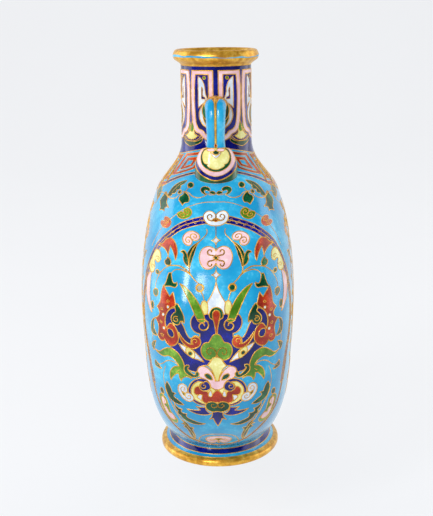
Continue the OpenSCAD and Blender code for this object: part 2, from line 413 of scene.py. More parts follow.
def fired_enamel(name, main, pale, deep, rough=0.14, patch=90.0):
    """Overglaze enamel: pooled and thinned by the brush, with specks and a slightly wavy, glassy skin."""
    material, start, shader, place = new_material(name)
    pooled = noise(start, place, patch, 4.0, 0.6)
    fine = noise(start, place, patch * 9, 2.0)
    speck = noise(start, place, 1500.0, 1.0)
    colour = mix(start, pooled.between(0.30, 0.72), rgb(deep), rgb(main))
    colour = mix(start, (pooled * 0.6 + fine * 0.4).between(0.50, 0.74), colour, rgb(pale))
    colour = mix(start, speck.between(0.66, 0.80) * 0.35, colour, rgb(deep))
    wave = noise(start, place, 260.0, 2.0) * 0.7 + fine * 0.3 + speck * 0.06
    vary(start, shader, colour, fine * 0.12 + speck * 0.06 + (rough - 0.05), wave, 0.35, 0.00012)
    shader.inputs["Coat Weight"].default_value = 0.18
    shader.inputs["Coat Roughness"].default_value = 0.06
    shader.inputs["IOR"].default_value = 1.52
    shader.inputs["Specular IOR Level"].default_value = 0.34
    return material


def gilding(name, main="DDA636", pale="F0CA62", deep="B47E24", metal=0.62):
    """Fired gold, its tone and roughness varying in random patches from bright to duller and browner."""
    material, start, shader, place = new_material(name)
    tone = noise(start, place, 240.0, 4.0, 0.6)
    grain = noise(start, place, 1900.0, 2.0)
    colour = mix(start, tone.between(0.28, 0.60), rgb(deep), rgb(main))
    colour = mix(start, (tone * 0.6 + grain * 0.4).between(0.50, 0.66), colour, rgb(pale))
    vary(start, shader, colour, grain * 0.22 + tone * 0.16 + 0.16, grain * 0.5 + tone, 0.4, 0.00008)
    shader.inputs["Metallic"].default_value = metal
    return material


def bare_porcelain(name):
    material, start, shader, place = new_material(name)
    tone = noise(start, place, 60.0, 4.0)
    pit = noise(start, place, 2200.0, 1.0)
    colour = mix(start, tone.between(0.3, 0.7), rgb("DAD6CB"), rgb("EFEDE6"))
    colour = mix(start, pit.between(0.70, 0.78) * 0.5, colour, rgb("8D8474"))
    vary(start, shader, colour, tone * 0.25 + 0.30, pit + tone, 0.3, 0.0001)
    return material


ENAMELS = {
    "turquoise": fired_enamel("turquoise enamel", "2A9EC6", "5CBAD6", "0E80B0", patch=45.0),
    "cobalt": fired_enamel("cobalt enamel", "040E74", "0C1F94", "020748"),
    "dark_green": fired_enamel("dark green enamel", "085030", "267A4C", "042D1B"),
    "moss_green": fired_enamel("moss green enamel", "5B8B20", "8BB03E", "36610F"),
    "red": fired_enamel("red enamel", "AE2E0A", "CC5626", "741906", rough=0.22),
    "pink": fired_enamel("pink enamel", "D9B9BE", "E6CED0", "C9A2AA", patch=160.0),
    "primrose": fired_enamel("primrose enamel", "D3D08C", "E2E0B2", "BDB664"),
    "white": fired_enamel("white enamel", "C8D0D7", "DEE2E6", "ACB8C6", patch=140.0),
}
ENAMEL_SLOTS = {colour: colour + "_enamel" for colour in ENAMELS}
GILT = gilding("gilding")
LINE_GOLD = gilding("gilt lines", "D49C30", "EAC25E", "AE7A20", 0.5)
ENAMELS["gilt"] = GILT
ENAMEL_SLOTS["gilt"] = "gilding"
PORCELAIN = bare_porcelain("porcelain")
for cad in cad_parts.values():
    cad.data.materials.clear()
    cad.data.materials.append(PORCELAIN)

# ---- from drawing to enamel and gilding ----------------------------------------------------------


def inside(outline, points):
    """Which points lie inside a closed outline."""
    x, y = points[:, 0], points[:, 1]
    hit = np.zeros(len(points), bool)
    low, high = outline.min(0), outline.max(0)
    near = np.where((x >= low[0]) & (x <= high[0]) & (y >= low[1]) & (y <= high[1]))[0]
    if not len(near):
        return hit
    px, py = x[near], y[near]
    crossings = np.zeros(len(near), int)
    for (ax, ay), (bx, by) in zip(outline, np.roll(outline, -1, 0)):
        if ay == by:
            continue
        over = (ay > py) != (by > py)
        crossings += over & (px < ax + (py - ay) * (bx - ax) / (by - ay))
    hit[near] = crossings % 2 == 1
    return hit


def cut_sheet(cells, low, high, grid):
    """Triangles of a sheet, each with the topmost cell over it."""
    points, edges = [], []

    def add(path):
        first, count = len(points), len(path)
        points.extend(path.tolist())
        edges.extend((first + k, first + (k + 1) % count) for k in range(count))

    up = np.arange(low[1], high[1], RIM_STEP)
    over = np.arange(low[0], high[0], RIM_STEP)
    rim = [(low[0], q) for q in up[::-1]] + [(q, low[1]) for q in over]
    rim += [(high[0], q) for q in up] + [(q, high[1]) for q in (low[0] + high[0] - over)]
    add(np.array(rim))
    for _, outline, _ in cells:
        add(outline)
    points.extend(grid.tolist())
    verts, _, faces, _, _, _ = delaunay_2d_cdt([Vector(p) for p in points], edges, [], 0, 1e-4, False)
    verts = np.array([tuple(v) for v in verts])
    faces = np.array([f for f in faces if len(f) == 3])
    middle = verts[faces].mean(1)
    kept = np.all((middle > low) & (middle < high), axis=1)
    faces, middle = faces[kept], middle[kept]
    top = np.zeros(len(faces), int)
    for k, (_, outline, _) in enumerate(cells):
        top[inside(outline, middle)] = k
    e1, e2 = verts[faces[:, 1]] - verts[faces[:, 0]], verts[faces[:, 2]] - verts[faces[:, 0]]
    turned = e1[:, 0] * e2[:, 1] - e1[:, 1] * e2[:, 0] < 0
    faces[turned] = faces[turned][:, ::-1]
    return verts, faces, top


def close_points(points):
    """Numbers that are the same for points in the same place, and one index for each number."""
    keys = np.round(points / SAME_PLACE).astype(np.int64)
    _, first, same = np.unique(keys, axis=0, return_index=True, return_inverse=True)
    return first, same.ravel()


def pairs_of(faces):
    return np.vstack([faces[:, [0, 1]], faces[:, [1, 2]], faces[:, [2, 0]]])


def open_rim(faces, count):
    """The edges that only one face has, in that face's direction."""
    pairs = pairs_of(faces)
    code = pairs[:, 0].astype(np.int64) * count + pairs[:, 1]
    back = pairs[:, 1].astype(np.int64) * count + pairs[:, 0]
    return pairs[~np.isin(code, back)]


def drawn_edges(faces, top, line_of, count):
    """The edges between two cells, and at every point half the width of the upper cell's gilt line."""
    owner = np.tile(top, 3)
    key = np.sort(pairs_of(faces), axis=1)
    order = np.lexsort((key[:, 1], key[:, 0]))
    key, owner = key[order], owner[order]
    differ = np.all(key[1:] == key[:-1], axis=1) & (owner[1:] != owner[:-1])
    edges = key[:-1][differ]
    upper = np.maximum(owner[1:], owner[:-1])[differ]
    radius = np.zeros(count)
    np.maximum.at(radius, edges.ravel(), np.repeat(line_of[upper], 2))
    return edges, radius


def solid_patch(name, top, faces, lift, normals, root=ENAMEL_ROOT):
    """A closed plate on a surface: its top stands out by lift, its underside is keyed in by root."""
    used, local = np.unique(faces, return_inverse=True)
    f = local.reshape(faces.shape)
    n = len(used)
    high, low = top[used] + normals[used] * lift, top[used] - normals[used] * root
    start, end = open_rim(f, n).T
    walls = np.vstack([np.column_stack([end, start, start + n]), np.column_stack([end, start + n, end + n])])
    faces = np.vstack([f, f[:, ::-1] + n, walls])
    return make_mesh(name, np.vstack([high, low]), faces, len(f), normals[used])


def make_mesh(name, points, faces, top_count=0, top_normals=None):
    """A mesh object in metres from points in millimetres, with true normals over its top faces."""
    mesh = bpy.data.meshes.new(name)
    mesh.vertices.add(len(points))
    mesh.vertices.foreach_set("co", (points * MM).ravel())
    mesh.loops.add(3 * len(faces))
    mesh.loops.foreach_set("vertex_index", faces.ravel().astype(np.int32))
    mesh.polygons.add(len(faces))
    mesh.polygons.foreach_set("loop_start", np.arange(0, 3 * len(faces), 3, dtype=np.int32))
    mesh.update(calc_edges=True)
    mesh.validate()
    mesh.polygons.foreach_set("use_smooth", np.ones(len(mesh.polygons), bool))
    if top_count and len(mesh.polygons) == len(faces):
        split = np.zeros((3 * len(faces), 3))
        split[: 3 * top_count] = top_normals[faces[:top_count].ravel()]
        rest = faces[top_count:]
        flat = np.cross(points[rest[:, 1]] - points[rest[:, 0]], points[rest[:, 2]] - points[rest[:, 0]])
        flat /= np.maximum(np.linalg.norm(flat, axis=1), 1e-12)[:, None]
        split[3 * top_count :] = np.repeat(flat, 3, axis=0)
        mesh.normals_split_custom_set(split.tolist())
    piece = bpy.data.objects.new(name, mesh)
    bpy.context.scene.collection.objects.link(piece)
    return piece


def wire_tree(material):
    """Geometry Nodes: round gilt wires along edges, each as thick as its points say."""
    tree = bpy.data.node_groups.new("gilt wires", "GeometryNodeTree")
    face = tree.interface
    face.new_socket("Geometry", in_out="INPUT", socket_type="NodeSocketGeometry")
    sides_in = face.new_socket("Sides", in_out="INPUT", socket_type="NodeSocketInt")
    swell_in = face.new_socket("Thickness", in_out="INPUT", socket_type="NodeSocketFloat")
    face.new_socket("Geometry", in_out="OUTPUT", socket_type="NodeSocketGeometry")
    node, link = tree.nodes.new, tree.links.new
    start, end = node("NodeGroupInput"), node("NodeGroupOutput")
    radius, to_curve = node("GeometryNodeInputNamedAttribute"), node("GeometryNodeMeshToCurve")
    radius.inputs["Name"].default_value = "wire_radius"
    set_radius, size = node("GeometryNodeSetCurveRadius"), node("ShaderNodeMath")
    size.operation = "MULTIPLY"
    ring, sweep = node("GeometryNodeCurvePrimitiveCircle"), node("GeometryNodeCurveToMesh")
    ring.inputs["Radius"].default_value = 1.0
    smooth_on, paint = node("GeometryNodeSetShadeSmooth"), node("GeometryNodeSetMaterial")
    realize = node("GeometryNodeRealizeInstances")
    paint.inputs["Material"].default_value = material
    sweep.inputs["Fill Caps"].default_value = True
    link(start.outputs["Geometry"], to_curve.inputs[0])
    link(radius.outputs[0], size.inputs[0])
    link(start.outputs["Thickness"], size.inputs[1])
    link(to_curve.outputs[0], set_radius.inputs["Curve"])
    link(size.outputs[0], set_radius.inputs["Radius"])
    link(start.outputs["Sides"], ring.inputs["Resolution"])
    link(set_radius.outputs[0], sweep.inputs["Curve"])
    link(ring.outputs[0], sweep.inputs["Profile Curve"])
    scale = [s for s in sweep.inputs if s.name == "Scale"]
    if scale:
        link(size.outputs[0], scale[0])
    link(sweep.outputs[0], smooth_on.inputs[0])
    link(smooth_on.outputs[0], realize.inputs[0])
    link(realize.outputs[0], paint.inputs[0])
    link(paint.outputs[0], end.inputs[0])
    return tree, sides_in.identifier, swell_in.identifier


WIRE_SIDES = 6


def wire_piece(name, points, edges, radii, tree_parts):
    """Turns a net of edges into gilt wires, as one plain mesh."""
    mesh = bpy.data.meshes.new(name + "_net")
    mesh.from_pydata((points * MM).tolist(), edges.tolist(), [])
    attribute = mesh.attributes.new("wire_radius", "FLOAT", "POINT")
    attribute.data.foreach_set("value", (radii * MM).astype(np.float32))
    net = bpy.data.objects.new(name + "_net", mesh)
    bpy.context.scene.collection.objects.link(net)
    tree, sides_id, swell_id = tree_parts
    modifier = net.modifiers.new("wires", "NODES")
    modifier.node_group = tree
    modifier[sides_id] = WIRE_SIDES
    modifier[swell_id] = 1.0
    evaluated = net.evaluated_get(bpy.context.evaluated_depsgraph_get())
    made = bpy.data.meshes.new_from_object(evaluated)
    net.modifiers.clear()
    bpy.data.objects.remove(net)
    piece = bpy.data.objects.new(name, made)
    bpy.context.scene.collection.objects.link(piece)
    return piece


C = 1  # marks a corner in an outline

# ---- ground, foot bands and neck field -----------------------------------------------------------

body.panel = as_drawn
cell, stroke = body.cell, body.line
BAND_POINTS = 150


def level_line(v, start, end):
    return np.column_stack([np.linspace(start, end, BAND_POINTS), np.full(BAND_POINTS, v)])


def line_pair(widths, *curves):
    """Gilt lines, and their mirror images about the panel's middle line."""
    for flip in (False, True):
        for curve in curves:
            stroke(placed(curve, flip=flip), widths)


def band(colour, v_low, v_high):
    low, high = level_line(v_low, -0.1, 1.1), level_line(v_high, -0.1, 1.1)[::-1]
    cell(colour, np.vstack([low, high]), drawn=True)


band("turquoise", V_LOW - 2, V_HIGH + 2)
band("gilt", V_LOW - 2, V_LOW + 2.3)
band("cobalt", V_LOW + 5.0, V_LOW + 8.7)
stroke(level_line(V_LOW + 10.4, -0.05, 1.02), (0.8, 0.8), drawn=True)

# The neck's cobalt field ends in a line that dips from the handle to the broad face.
FIELD_EDGE = [(0, 236.6), (6.5, 236.3), (12, 235.2), (17, 233.4), (21.5, 231.2)]
body.panel = narrow
field_edge = narrow(smooth(FIELD_EDGE, closed=False))
dip = field_edge[-1]


def falling(q):
    return dip[1] - 1.6 * math.sin((q - dip[0]) / (1 - dip[0]) * math.pi / 2)


rest_of_edge = [(q, falling(q)) for q in np.linspace(dip[0] + 0.02, 1.1, 24)]
body.panel = as_drawn
cell("cobalt", np.vstack([[(-0.1, 236.6)], field_edge, rest_of_edge, [(1.1, V_HIGH + 2),
    (-0.1, V_HIGH + 2)]]), drawn=True)

# ---- neck: half a repeat, then its mirror image ---------------------------------------------------

neck_start, neck_line_start = len(body.cells), len(body.lines)
body.panel = neck_panel
NECK_FRAME = [
    (1.7, 44.5, C), (16.1, 44.5, C), (16.1, 13), (15.2, 8.6), (13, 5.8), (10.3, 4.6), (8.4, 2.6), (6, 1.2),
    (0, 0.7, C), (0, 3.0, C), (4.3, 3.2), (6.8, 5.0), (8.3, 6.9), (11, 8.0), (12.6, 10.2), (13.4, 14),
    (13.4, 42.1, C), (4.5, 42.1, C), (4.5, 24, C), (1.7, 24, C),
]
cell("pink", NECK_FRAME)
cell("white", [(11.3, 41.0, C), (11.4, 21.0, C), (8.4, 23.8), (5.2, 25.2), (5.6, 27.5), (6.6, 31),
    (6.9, 34.5), (8.6, 38.6)], 0.28)
cell("cobalt", [(8.3, 33.4), (9.1, 34.4, C), (9.2, 26.9, C), (6.5, 26.7, C), (6.7, 28.2, C), (7.9, 28.5)],
     line=0.2)
cell("moss_green", oval(7.2, 40.1, 1.0), 0.26)
cell("white", both([(0, 26), (6.2, 24.6), (10, 20.5), (10.8, 15.8), (8.6, 11), (5.4, 8.4), (3.0, 5.2),
    (0, 4.4)]))
cell("dark_green", oval(0, 16, 8.1))
cell("turquoise", oval(0, 16, 5.5))
cell("dark_green", [(9.0, 2.4, C), (13, 0.0), (19, -1.0), (19, -3.6), (13, -2.6), (9.2, 0.2)], 0.24)
cell("cobalt", [(18.6, 11.4, C), (16.5, 8.4), (13.8, 4.8), (10.0, 3.2, C), (13, 0.9), (18.6, 0.1, C)], 0.26)
cell("primrose", [(18.6, 9.6), (16.3, 7.0), (14.4, 4.6), (12.2, 3.6, C), (12.8, 2.8), (13.7, 2.6, C),
    (13.9, 1.9), (15.0, 2.1, C), (15.3, 1.2), (16.5, 1.7, C), (17.0, 1.0), (18.6, 1.5)], 0.22)
cell("moss_green", [(18.4, 12.6, C), (17.75, 10.2), (17.0, 7.6), (16.3, 6.0, C), (17.0, 6.4), (18.4, 5.9)],
     0.2)
for index in range(neck_start, len(body.cells)):
    colour, outline, line = body.cells[index]
    body.twins[len(body.cells)] = index
    body.cells.append((colour, np.column_stack([1 - outline[:, 0], outline[:, 1]]), line))
for path, width in body.lines[neck_line_start:]:
    body.lines.append((np.column_stack([1 - path[:, 0], path[:, 1]]), width))

# ---- collar: slanted lozenges under the neck ------------------------------------------------------

body.panel = narrow


def shrunk(quad, share):
    middle = np.mean([q[:2] for q in quad], axis=0)
    return [(*(middle + (np.array(q[:2]) - middle) * share), C) for q in quad]


LOZENGES = [
    [(6.6, 234.9, C), (18.6, 231.6, C), (28.4, 210.0, C), (13.6, 219.6, C)],
    [(20.2, 230.6, C), (22.4, 229.6, C), (36.5, 200.5, C), (30.2, 208.6, C)],
]
for quad, nested in zip(LOZENGES, ((1, 0.74, 0.54, 0.26), (1, 0.62))):
    for k, share in enumerate(nested):
        cell(("red", "turquoise")[k % 2], shrunk(quad, share), 0.26)
COLLAR_LINE = [(0, 217.6), (8, 217.2), (13, 215.8), (17.5, 213.9), (22.5, 210.8), (27.5, 206.6),
    (31.5, 202.4), (35.5, 197)]
cell("cobalt", swell(COLLAR_LINE, [0.75, 0.75]), drawn=True)

# ---- shoulder scroll -------------------------------------------------------------------------------

stroke([(0.5, 196.5), (3.5, 196.2), (5.2, 197.2)], (0.7, 1.0))
stroke([(5.7, 197.4), (7.4, 194.9), (11, 193.5), (14.4, 194.6), (17, 197.6), (20.4, 198.3)], (0.7, 1.2, 0.7))
stroke([(16.4, 203.2), (17.5, 200.6), (18.6, 198.7)], (0.8, 1.0))
stroke([(19.6, 198.4), (22.2, 195.4), (25.6, 191.6), (29, 190.9), (31.4, 193.2), (31.8, 195.2)],
       (0.8, 1.2, 0.8))
cell("dark_green", [(0.3, 196.9, C), (1.5, 199.4), (3.3, 199.3), (4.0, 197.8, C), (2.4, 196.9)], 0.28)
cell("dark_green", [(5.6, 195.8, C), (7.8, 197.2), (9.4, 199.8), (8.8, 202.6), (6.6, 203.8), (4.2, 202.6),
    (3.6, 200.6), (4.6, 199.4, C), (6.2, 200.4), (7.2, 199.4), (6.6, 197.8)], 0.28)
cell("dark_green", [(17.2, 202.4, C), (15.4, 201.9), (14.0, 203.6), (14.2, 206.3), (15.6, 206.9),
    (17.2, 205.2)])
cell("dark_green", [(19.4, 198.3, C), (20.2, 195.7), (22.3, 193.4), (22.6, 190.6, C), (21.7, 189.2),
    (20.4, 187.0, C), (19.3, 188.8), (17.2, 189.4, C), (16.3, 191.8), (16.9, 195.3)])
cell("dark_green", [(18.0, 208.4, C), (21.2, 206.8), (24.6, 203.8), (27.4, 199.4), (30.3, 191.8, C),
    (27.9, 192.8), (27.3, 195.0, C), (25.5, 195.6), (24.6, 198.6, C), (22.6, 199.8), (21.9, 203.2, C),
    (20.2, 204.6)])
stroke([(20.6, 206.2), (24.4, 201.2), (27.6, 195.4)], (0.4, 0.9, 0.4))
cell("dark_green", [(21.6, 199.2), (22.9, 198.3), (23.5, 195.8, C), (22.0, 196.2), (21.4, 197.8)])
cell("dark_green", [(31.0, 195.2, C), (33.2, 191.2), (34.9, 186.6), (34.4, 182.2), (35.2, 179.2, C),
    (33.2, 180.4), (31.8, 179.8, C), (31.2, 182.8), (28.9, 183.6, C), (30.5, 186.4), (30.2, 190.6)])
cell("dark_green", [(34.2, 198.8, C), (36.2, 195.2), (37.6, 190.2), (37.1, 186.6, C), (35.4, 190),
    (34.4, 194.2)])
stroke([(31.6, 193.6), (34.4, 193.4), (37, 186), (39.5, 181)], (0.7, 1.1, 0.5))
THIN_LINE = [(-2, 190.2), (0, 190.25), (7, 189.9), (14, 187.4), (20, 183.6), (26, 177.8), (31.4, 170.6),
    (35.6, 163.0), (39.2, 154)]
stroke(THIN_LINE, (0.85, 0.85))

# ---- ruyi heads on the shoulder ---------------------------------------------------------------------


HEAD = [(0, 0.42, C), (0.3, 0.86), (0.74, 0.98), (1.12, 0.66), (1.16, 0.1), (0.78, -0.48), (0, -0.72)]
HEAD_CURL = [(0.02, 0.42), (0.08, 0.02), (0.38, -0.16), (0.74, 0.04), (0.8, 0.4), (0.56, 0.58), (0.38, 0.38),
    (0.5, 0.24)]


def ruyi_head(colour, at, turn, size, width=1.2, line=LINE_R, tall=1.0):
    """A cloud head: two lobes with a notch between them, and a curl running into each."""
    head = [(p[0], p[1] * tall, *p[2:]) for p in both(HEAD)]
    curl = [(p[0], p[1] * tall) for p in HEAD_CURL]
    cell(colour, placed(head, at, turn, size), line)
    for flip in (False, True):
        stroke(placed(curl, at, turn, size, flip), (width, width * 0.75))


ruyi_head("moss_green", (18.3, 180.2), -38, 3.9)
ruyi_head("red", (29.6, 172.6), -58, 3.3, 0.6, 0.26)

# ---- arch band from the crest ruyi round to the broad faces ------------------------------------------

ARCH = [(0, 177.0), (7, 176.6), (14.5, 174.2), (21.5, 170.8), (28.2, 164.8), (33.6, 158.2), (37.2, 151.6),
        (40.2, 144.0), (42.4, 136)]
arch_in = narrow(smooth(ARCH, closed=False))
ARCH_BROAD = [(63.5, 125), (59.8, 112), (58.6, 99), (60.6, 87), (66.0, 77.5)]
LOWER_BAND = [(39.6, 71), (38.4, 63.5), (36.4, 55.5), (33.0, 47.0), (28.6, 38.6), (23.6, 30.4), (18.2, 22.6),
    (13.2, 17.2), (6, 11.5), (0, 9.5)]
route = np.vstack([arch_in, broad(smooth(ARCH_BROAD, closed=False, step=1.5))[2:-2],
    narrow(smooth(LOWER_BAND, closed=False))])


def on_sheet(route_in, every):
    """Smooths a route that is already in sheet terms, from one point in every few."""
    flat = route_in * [QUARTER, 1]
    return smooth([tuple(p) for p in flat[::every]], closed=False) / [QUARTER, 1]


def strip(path, offsets, colour):
    """A band along a route on the sheet, between two sideways offsets in true millimetres."""
    here = surface(path[:, 0], path[:, 1])
    along = np.gradient(here, axis=0)
    across = np.cross(outward(path[:, 0], path[:, 1]), along)
    across /= np.linalg.norm(across, axis=1)[:, None]
    du = (surface(path[:, 0] + 0.002, path[:, 1]) - here) / 0.002
    dv = (surface(path[:, 0], path[:, 1] + 0.2) - here) / 0.2
    sides = []
    for offset in offsets:
        goal = across * offset
        g11, g12, g22 = (du * du).sum(1), (du * dv).sum(1), (dv * dv).sum(1)
        r1, r2 = (du * goal).sum(1), (dv * goal).sum(1)
        det = g11 * g22 - g12 * g12
        sides.append(path + np.column_stack([(r1 * g22 - r2 * g12) / det, (g11 * r2 - g12 * r1) / det]))
    body.panel = as_drawn
    cell(colour, np.vstack([sides[0], sides[1][::-1]]), drawn=True)
    body.panel = narrow


body_route = on_sheet(route, 3)
split = int(len(body_route) * 0.62)  # the double band narrows to a single one here
BAND_HALF, LOW_BAND_HALF = 2.75, 1.1
strip(body_route[:split], (-BAND_HALF, 0.0), "cobalt")
strip(body_route[:split], (0.0, BAND_HALF), "cobalt")
strip(body_route[split - 2 :], (-LOW_BAND_HALF, LOW_BAND_HALF), "cobalt")
EYELET_STEP = 15  # route points between the eyelets along the double band
for k in range(9, split - 20, EYELET_STEP):
    for side, lift in ((1, 0.75), (-1, -0.75)):
        here = body_route[k + (5 if side > 0 else 0)]
        scale_u = np.linalg.norm(surface(here[0] + 0.005, here[1]) - surface(*here)) / 0.005
        ring = spiral(0, 0, 0.6, 0.6, 40 * k, 0.9)
        lifted = lift if here[0] < 0.6 else 0
        eyelet = here + np.column_stack([ring[:, 0] / scale_u, ring[:, 1] + lifted])
        body.lines.append((eyelet, np.full(len(ring), 0.42 * LINE_R)))

ruyi_head("white", (0, 177.0), 0, 6.3, 1.45)
cell("red", both([(0, 178.4, C), (0.9, 177.8), (2.2, 177.0, C), (1.0, 175.6), (0, 175.3)]), 0.26)

# ---- between the arch and the mask -------------------------------------------------------------------

ruyi_head("pink", (15.4, 164.6), 142, 4.5)
stroke([(15.4, 141.6), (16.0, 146.0), (15.4, 151.6), (13.0, 157.6), (8.4, 163.2), (5.3, 167.6), (5.6, 170.4)],
       (1.0, 1.3, 0.8))
cell("dark_green", swell([(15.7, 145.4), (15.5, 151.0), (13.6, 156.6), (10.2, 161.4)],
    [0.3, 1.4, 1.9, 1.3, 0.2]), 0.2, True)
cell("dark_green", [(16.2, 145.8, C), (18.2, 147.4), (19.3, 150.2), (19.2, 153.4), (21.0, 154.4, C),
    (18.8, 155.6), (17.3, 153.6), (16.4, 150.4)])
stroke([(0, 172), (0, 165.4)], (1.0, 0.8))
stroke([(0, 159.8), (0, 156)], (0.8, 1.0))
stroke([(0, 147.4), (0, 143.6)], (1.0, 0.8))
stroke([(0, 138.4), (0, 136)], (0.8, 1.0))
for middle_v, half_w, half_h in ((162.6, 2.8, 3.4), (141.0, 2.9, 3.2)):
    cell("white", both([(0, middle_v + half_h, C), (0.8, middle_v + 1.1), (half_w, middle_v, C),
        (0.8, middle_v - 1.1), (0, middle_v - half_h, C)]))
cell("pink", both([(0, 155.6, C), (1.6, 157.7), (4.6, 158.7), (7.8, 157.3), (9.6, 153.4), (9.4, 148.8),
    (7.3, 145.4), (4.3, 144.5), (1.7, 145.8), (0, 148.2, C)]))
line_pair((1.6, 1.3), [(0.6, 152.4), (2.4, 153.0), (4.4, 153.6), (4.9, 155.3), (3.9, 156.5), (2.6, 156.0),
    (2.8, 155.0)], [(0.6, 150.4), (2.4, 149.7), (4.4, 149.2), (4.9, 147.5), (3.9, 146.3), (2.6, 146.8),
        (2.8, 147.8)])
cell("dark_green", both([(0, 153.8, C), (0.6, 152.1), (2.3, 151.4, C), (0.6, 150.7), (0, 149.0, C)]))
cell("white", both([(0, 137.2, C), (0.9, 133.2), (3.0, 128.6), (5.1, 125.0), (5.9, 121.0), (5.6, 117.2, C),
    (3.0, 114), (0, 114)]))
cell("red", [(24.1, 148.8, C), (22.9, 154.2), (23.9, 159.6), (26.4, 163.0), (29.4, 162.0), (32.0, 158.9),
    (34.8, 157.2, C), (31.2, 156.4), (29.5, 154.4), (28.4, 151.2, C), (27.7, 155.2), (27.0, 157.8, C),
    (25.4, 154.4)])
cell("primrose", [(33.9, 153.8), (33.0, 151.0), (33.4, 147.9), (35.2, 146.5), (36.7, 147.3), (36.9, 143.6),
    (38.2, 139.4), (39.9, 139.2), (40.3, 143.0), (39.0, 147.6), (37.5, 151.2), (35.8, 154.0)])
for curl in (spiral(35.0, 149.0, 1.3, 0.4, 10, 1.0), spiral(38.4, 142.6, 1.3, 0.4, 150, -1.0)):
    stroke(curl, (0.75, 0.45), drawn=True)
stroke([(9.6, 135.4), (12.6, 138.0), (15.6, 141.6), (18.4, 144.0), (21.6, 145.6), (25.6, 145.6),
        (28.2, 145.4)], (0.9, 1.5, 0.9))
stroke([(15.0, 140.6), (18.4, 142.8), (22.0, 143.6), (25.0, 142.6), (26.6, 140.4)], (0.8, 1.2, 0.7))
stroke([(25.0, 145.6), (30.0, 144.0), (34.0, 139.2), (36.2, 133.4), (36.2, 129.6)], (1.0, 1.1, 0.7))
stroke([(32.5, 141.5), (34.0, 140.6)], (0.7, 0.7))
cell("dark_green", [(27.4, 145.6, C), (27.0, 148.2), (28.9, 150.8, C), (29.6, 149.2), (30.6, 148.2),
    (30.2, 146.0), (29.0, 145.3)])
cell("dark_green", [(26.6, 141.0, C), (26.2, 137.2), (25.2, 135.2), (23.2, 135.9, C), (24.0, 132.8),
    (27.4, 132.9), (31.6, 132.0, C), (30.0, 135.0), (29.0, 138.4), (28.2, 140.8, C)])
cell("dark_green", oval(35.2, 140.6, 1.1, 1.4))
cell("dark_green", [(35.4, 130.2), (34.7, 127.4), (35.9, 125.6, C), (37.4, 126.8), (37.2, 129.8)])
cell("primrose", [(5.4, 117.6, C), (4.9, 121.6), (6.0, 125.4), (7.7, 125.6), (9.0, 122.2), (7.8, 117.6, C)])
stroke([(7.0, 125.8), (7.7, 128.6), (8.8, 131.0)], (0.8, 1.1))
cell("dark_green", oval(9.6, 133.4, 2.1), line=1.9 * LINE_R)

# ---- mask ---------------------------------------------------------------------------------------------

cell("cobalt", [(0, 113, C), (1.4, 113.6), (3.0, 116.4), (5.4, 118.0), (8.0, 117.2), (11.8, 118.1),
    (14.6, 114.8), (14.5, 110.2), (12.3, 107.2), (9.7, 106.3, C), (9.8, 103.8, C), (12.6, 104.9),
    (15.2, 103.3), (17.2, 105.6), (18.7, 109.6), (20.6, 113.2, C), (22.4, 116.8), (23.3, 120.4, C),
    (26.5, 119.8), (29.4, 115.8), (29.9, 110), (28.2, 104.6), (26.4, 100.0), (27.6, 96.2, C), (24.8, 94.6),
    (22.3, 92.0), (20.6, 88.6), (19.6, 85.6, C), (16.6, 83), (12.2, 82, C), (9, 85.7), (5.9, 86.2, C),
    (3, 90, C), (0, 91, C)])
stroke(np.vstack([[(10.9, 114.6)], spiral(7.9, 111.0, 4.2, 0.9, 60, 1.35)]), (1.2, 1.15), drawn=True)
cell("moss_green", [(6.4, 113.6, C), (7.6, 118.4), (9.8, 123.4), (13.0, 128.4), (17.2, 132.8),
    (21.6, 135.3, C), (18.2, 129.8), (14.9, 123.2), (12.6, 118.0), (10.7, 114.0, C), (8.5, 113.0)])
cell("dark_green", both([(0, 121.9), (2.3, 121.2), (3.8, 119.0), (3.9, 116.0, C), (2.0, 114.6), (0, 114.6)]))
cell("red", both([(0, 120.2), (1.7, 119.3), (2.2, 117.2), (1.5, 113.6), (0.8, 110.0), (0.4, 105.6, C)]))
cell("moss_green", both([(0, 105.9), (2.1, 105.0), (3.6, 102.4), (4.7, 100.6, C), (7.4, 100.1), (9.1, 97.4),
    (8.9, 93.4), (6.6, 90.3), (3.2, 89.8), (1.2, 91.2), (0, 93.4, C)]))
line_pair((1.0, 0.8), [(0.1, 92.6), (0.7, 95.2), (2.6, 97.2), (5.0, 97.0), (6.0, 95.2), (5.2, 93.4),
    (3.7, 93.5), (3.5, 94.9)])
cell("red", [(11.0, 98.0), (14.2, 96.9), (18.2, 98.6), (20.8, 102.0), (22.1, 106.6, C), (19.4, 102.6),
    (16.8, 100.3), (14.7, 99.5, C), (15.0, 101.8), (13.8, 103.9), (11.6, 104.2), (9.7, 102.7), (9.5, 99.9)])
stroke(spiral(12.6, 101.4, 2.2, 0.6, -60, 0.9), (1.0, 0.7), drawn=True)
EYE = [(7.7, 88.2, C), (10.8, 89.8), (14.6, 91.2), (18.6, 94.2), (22.6, 99.9, C), (18.8, 98.2), (14.8, 96.4),
       (11.6, 93.4)]
cell("white", EYE)
cell("primrose", [(13.7, 91.0), (16.3, 92.2), (18.2, 94.3), (17.6, 97.6), (15.0, 96.5), (13.4, 94.5)], 0.28)
cell("dark_green", oval(15.9, 93.9, 1.25), 0.3)
cell("moss_green", [(19.8, 86.0, C), (21.2, 90.4), (24.2, 94.4), (28.5, 95.6), (32.2, 93.6), (34.6, 91.6),
    (37.6, 92.4, C), (35.0, 90.0), (32.0, 89.2), (29.0, 90.4), (26.2, 89.4), (23.8, 86.8), (22.8, 85.2, C),
    (26.2, 84.0), (28.4, 80.4), (28.0, 74.8, C), (26.2, 78.2), (23.6, 80.2), (22.8, 77.6), (21.7, 75.4, C),
    (20.4, 78.0), (18.0, 78.6), (15.4, 77.2, C), (16.6, 80.4), (19.2, 83.0)])
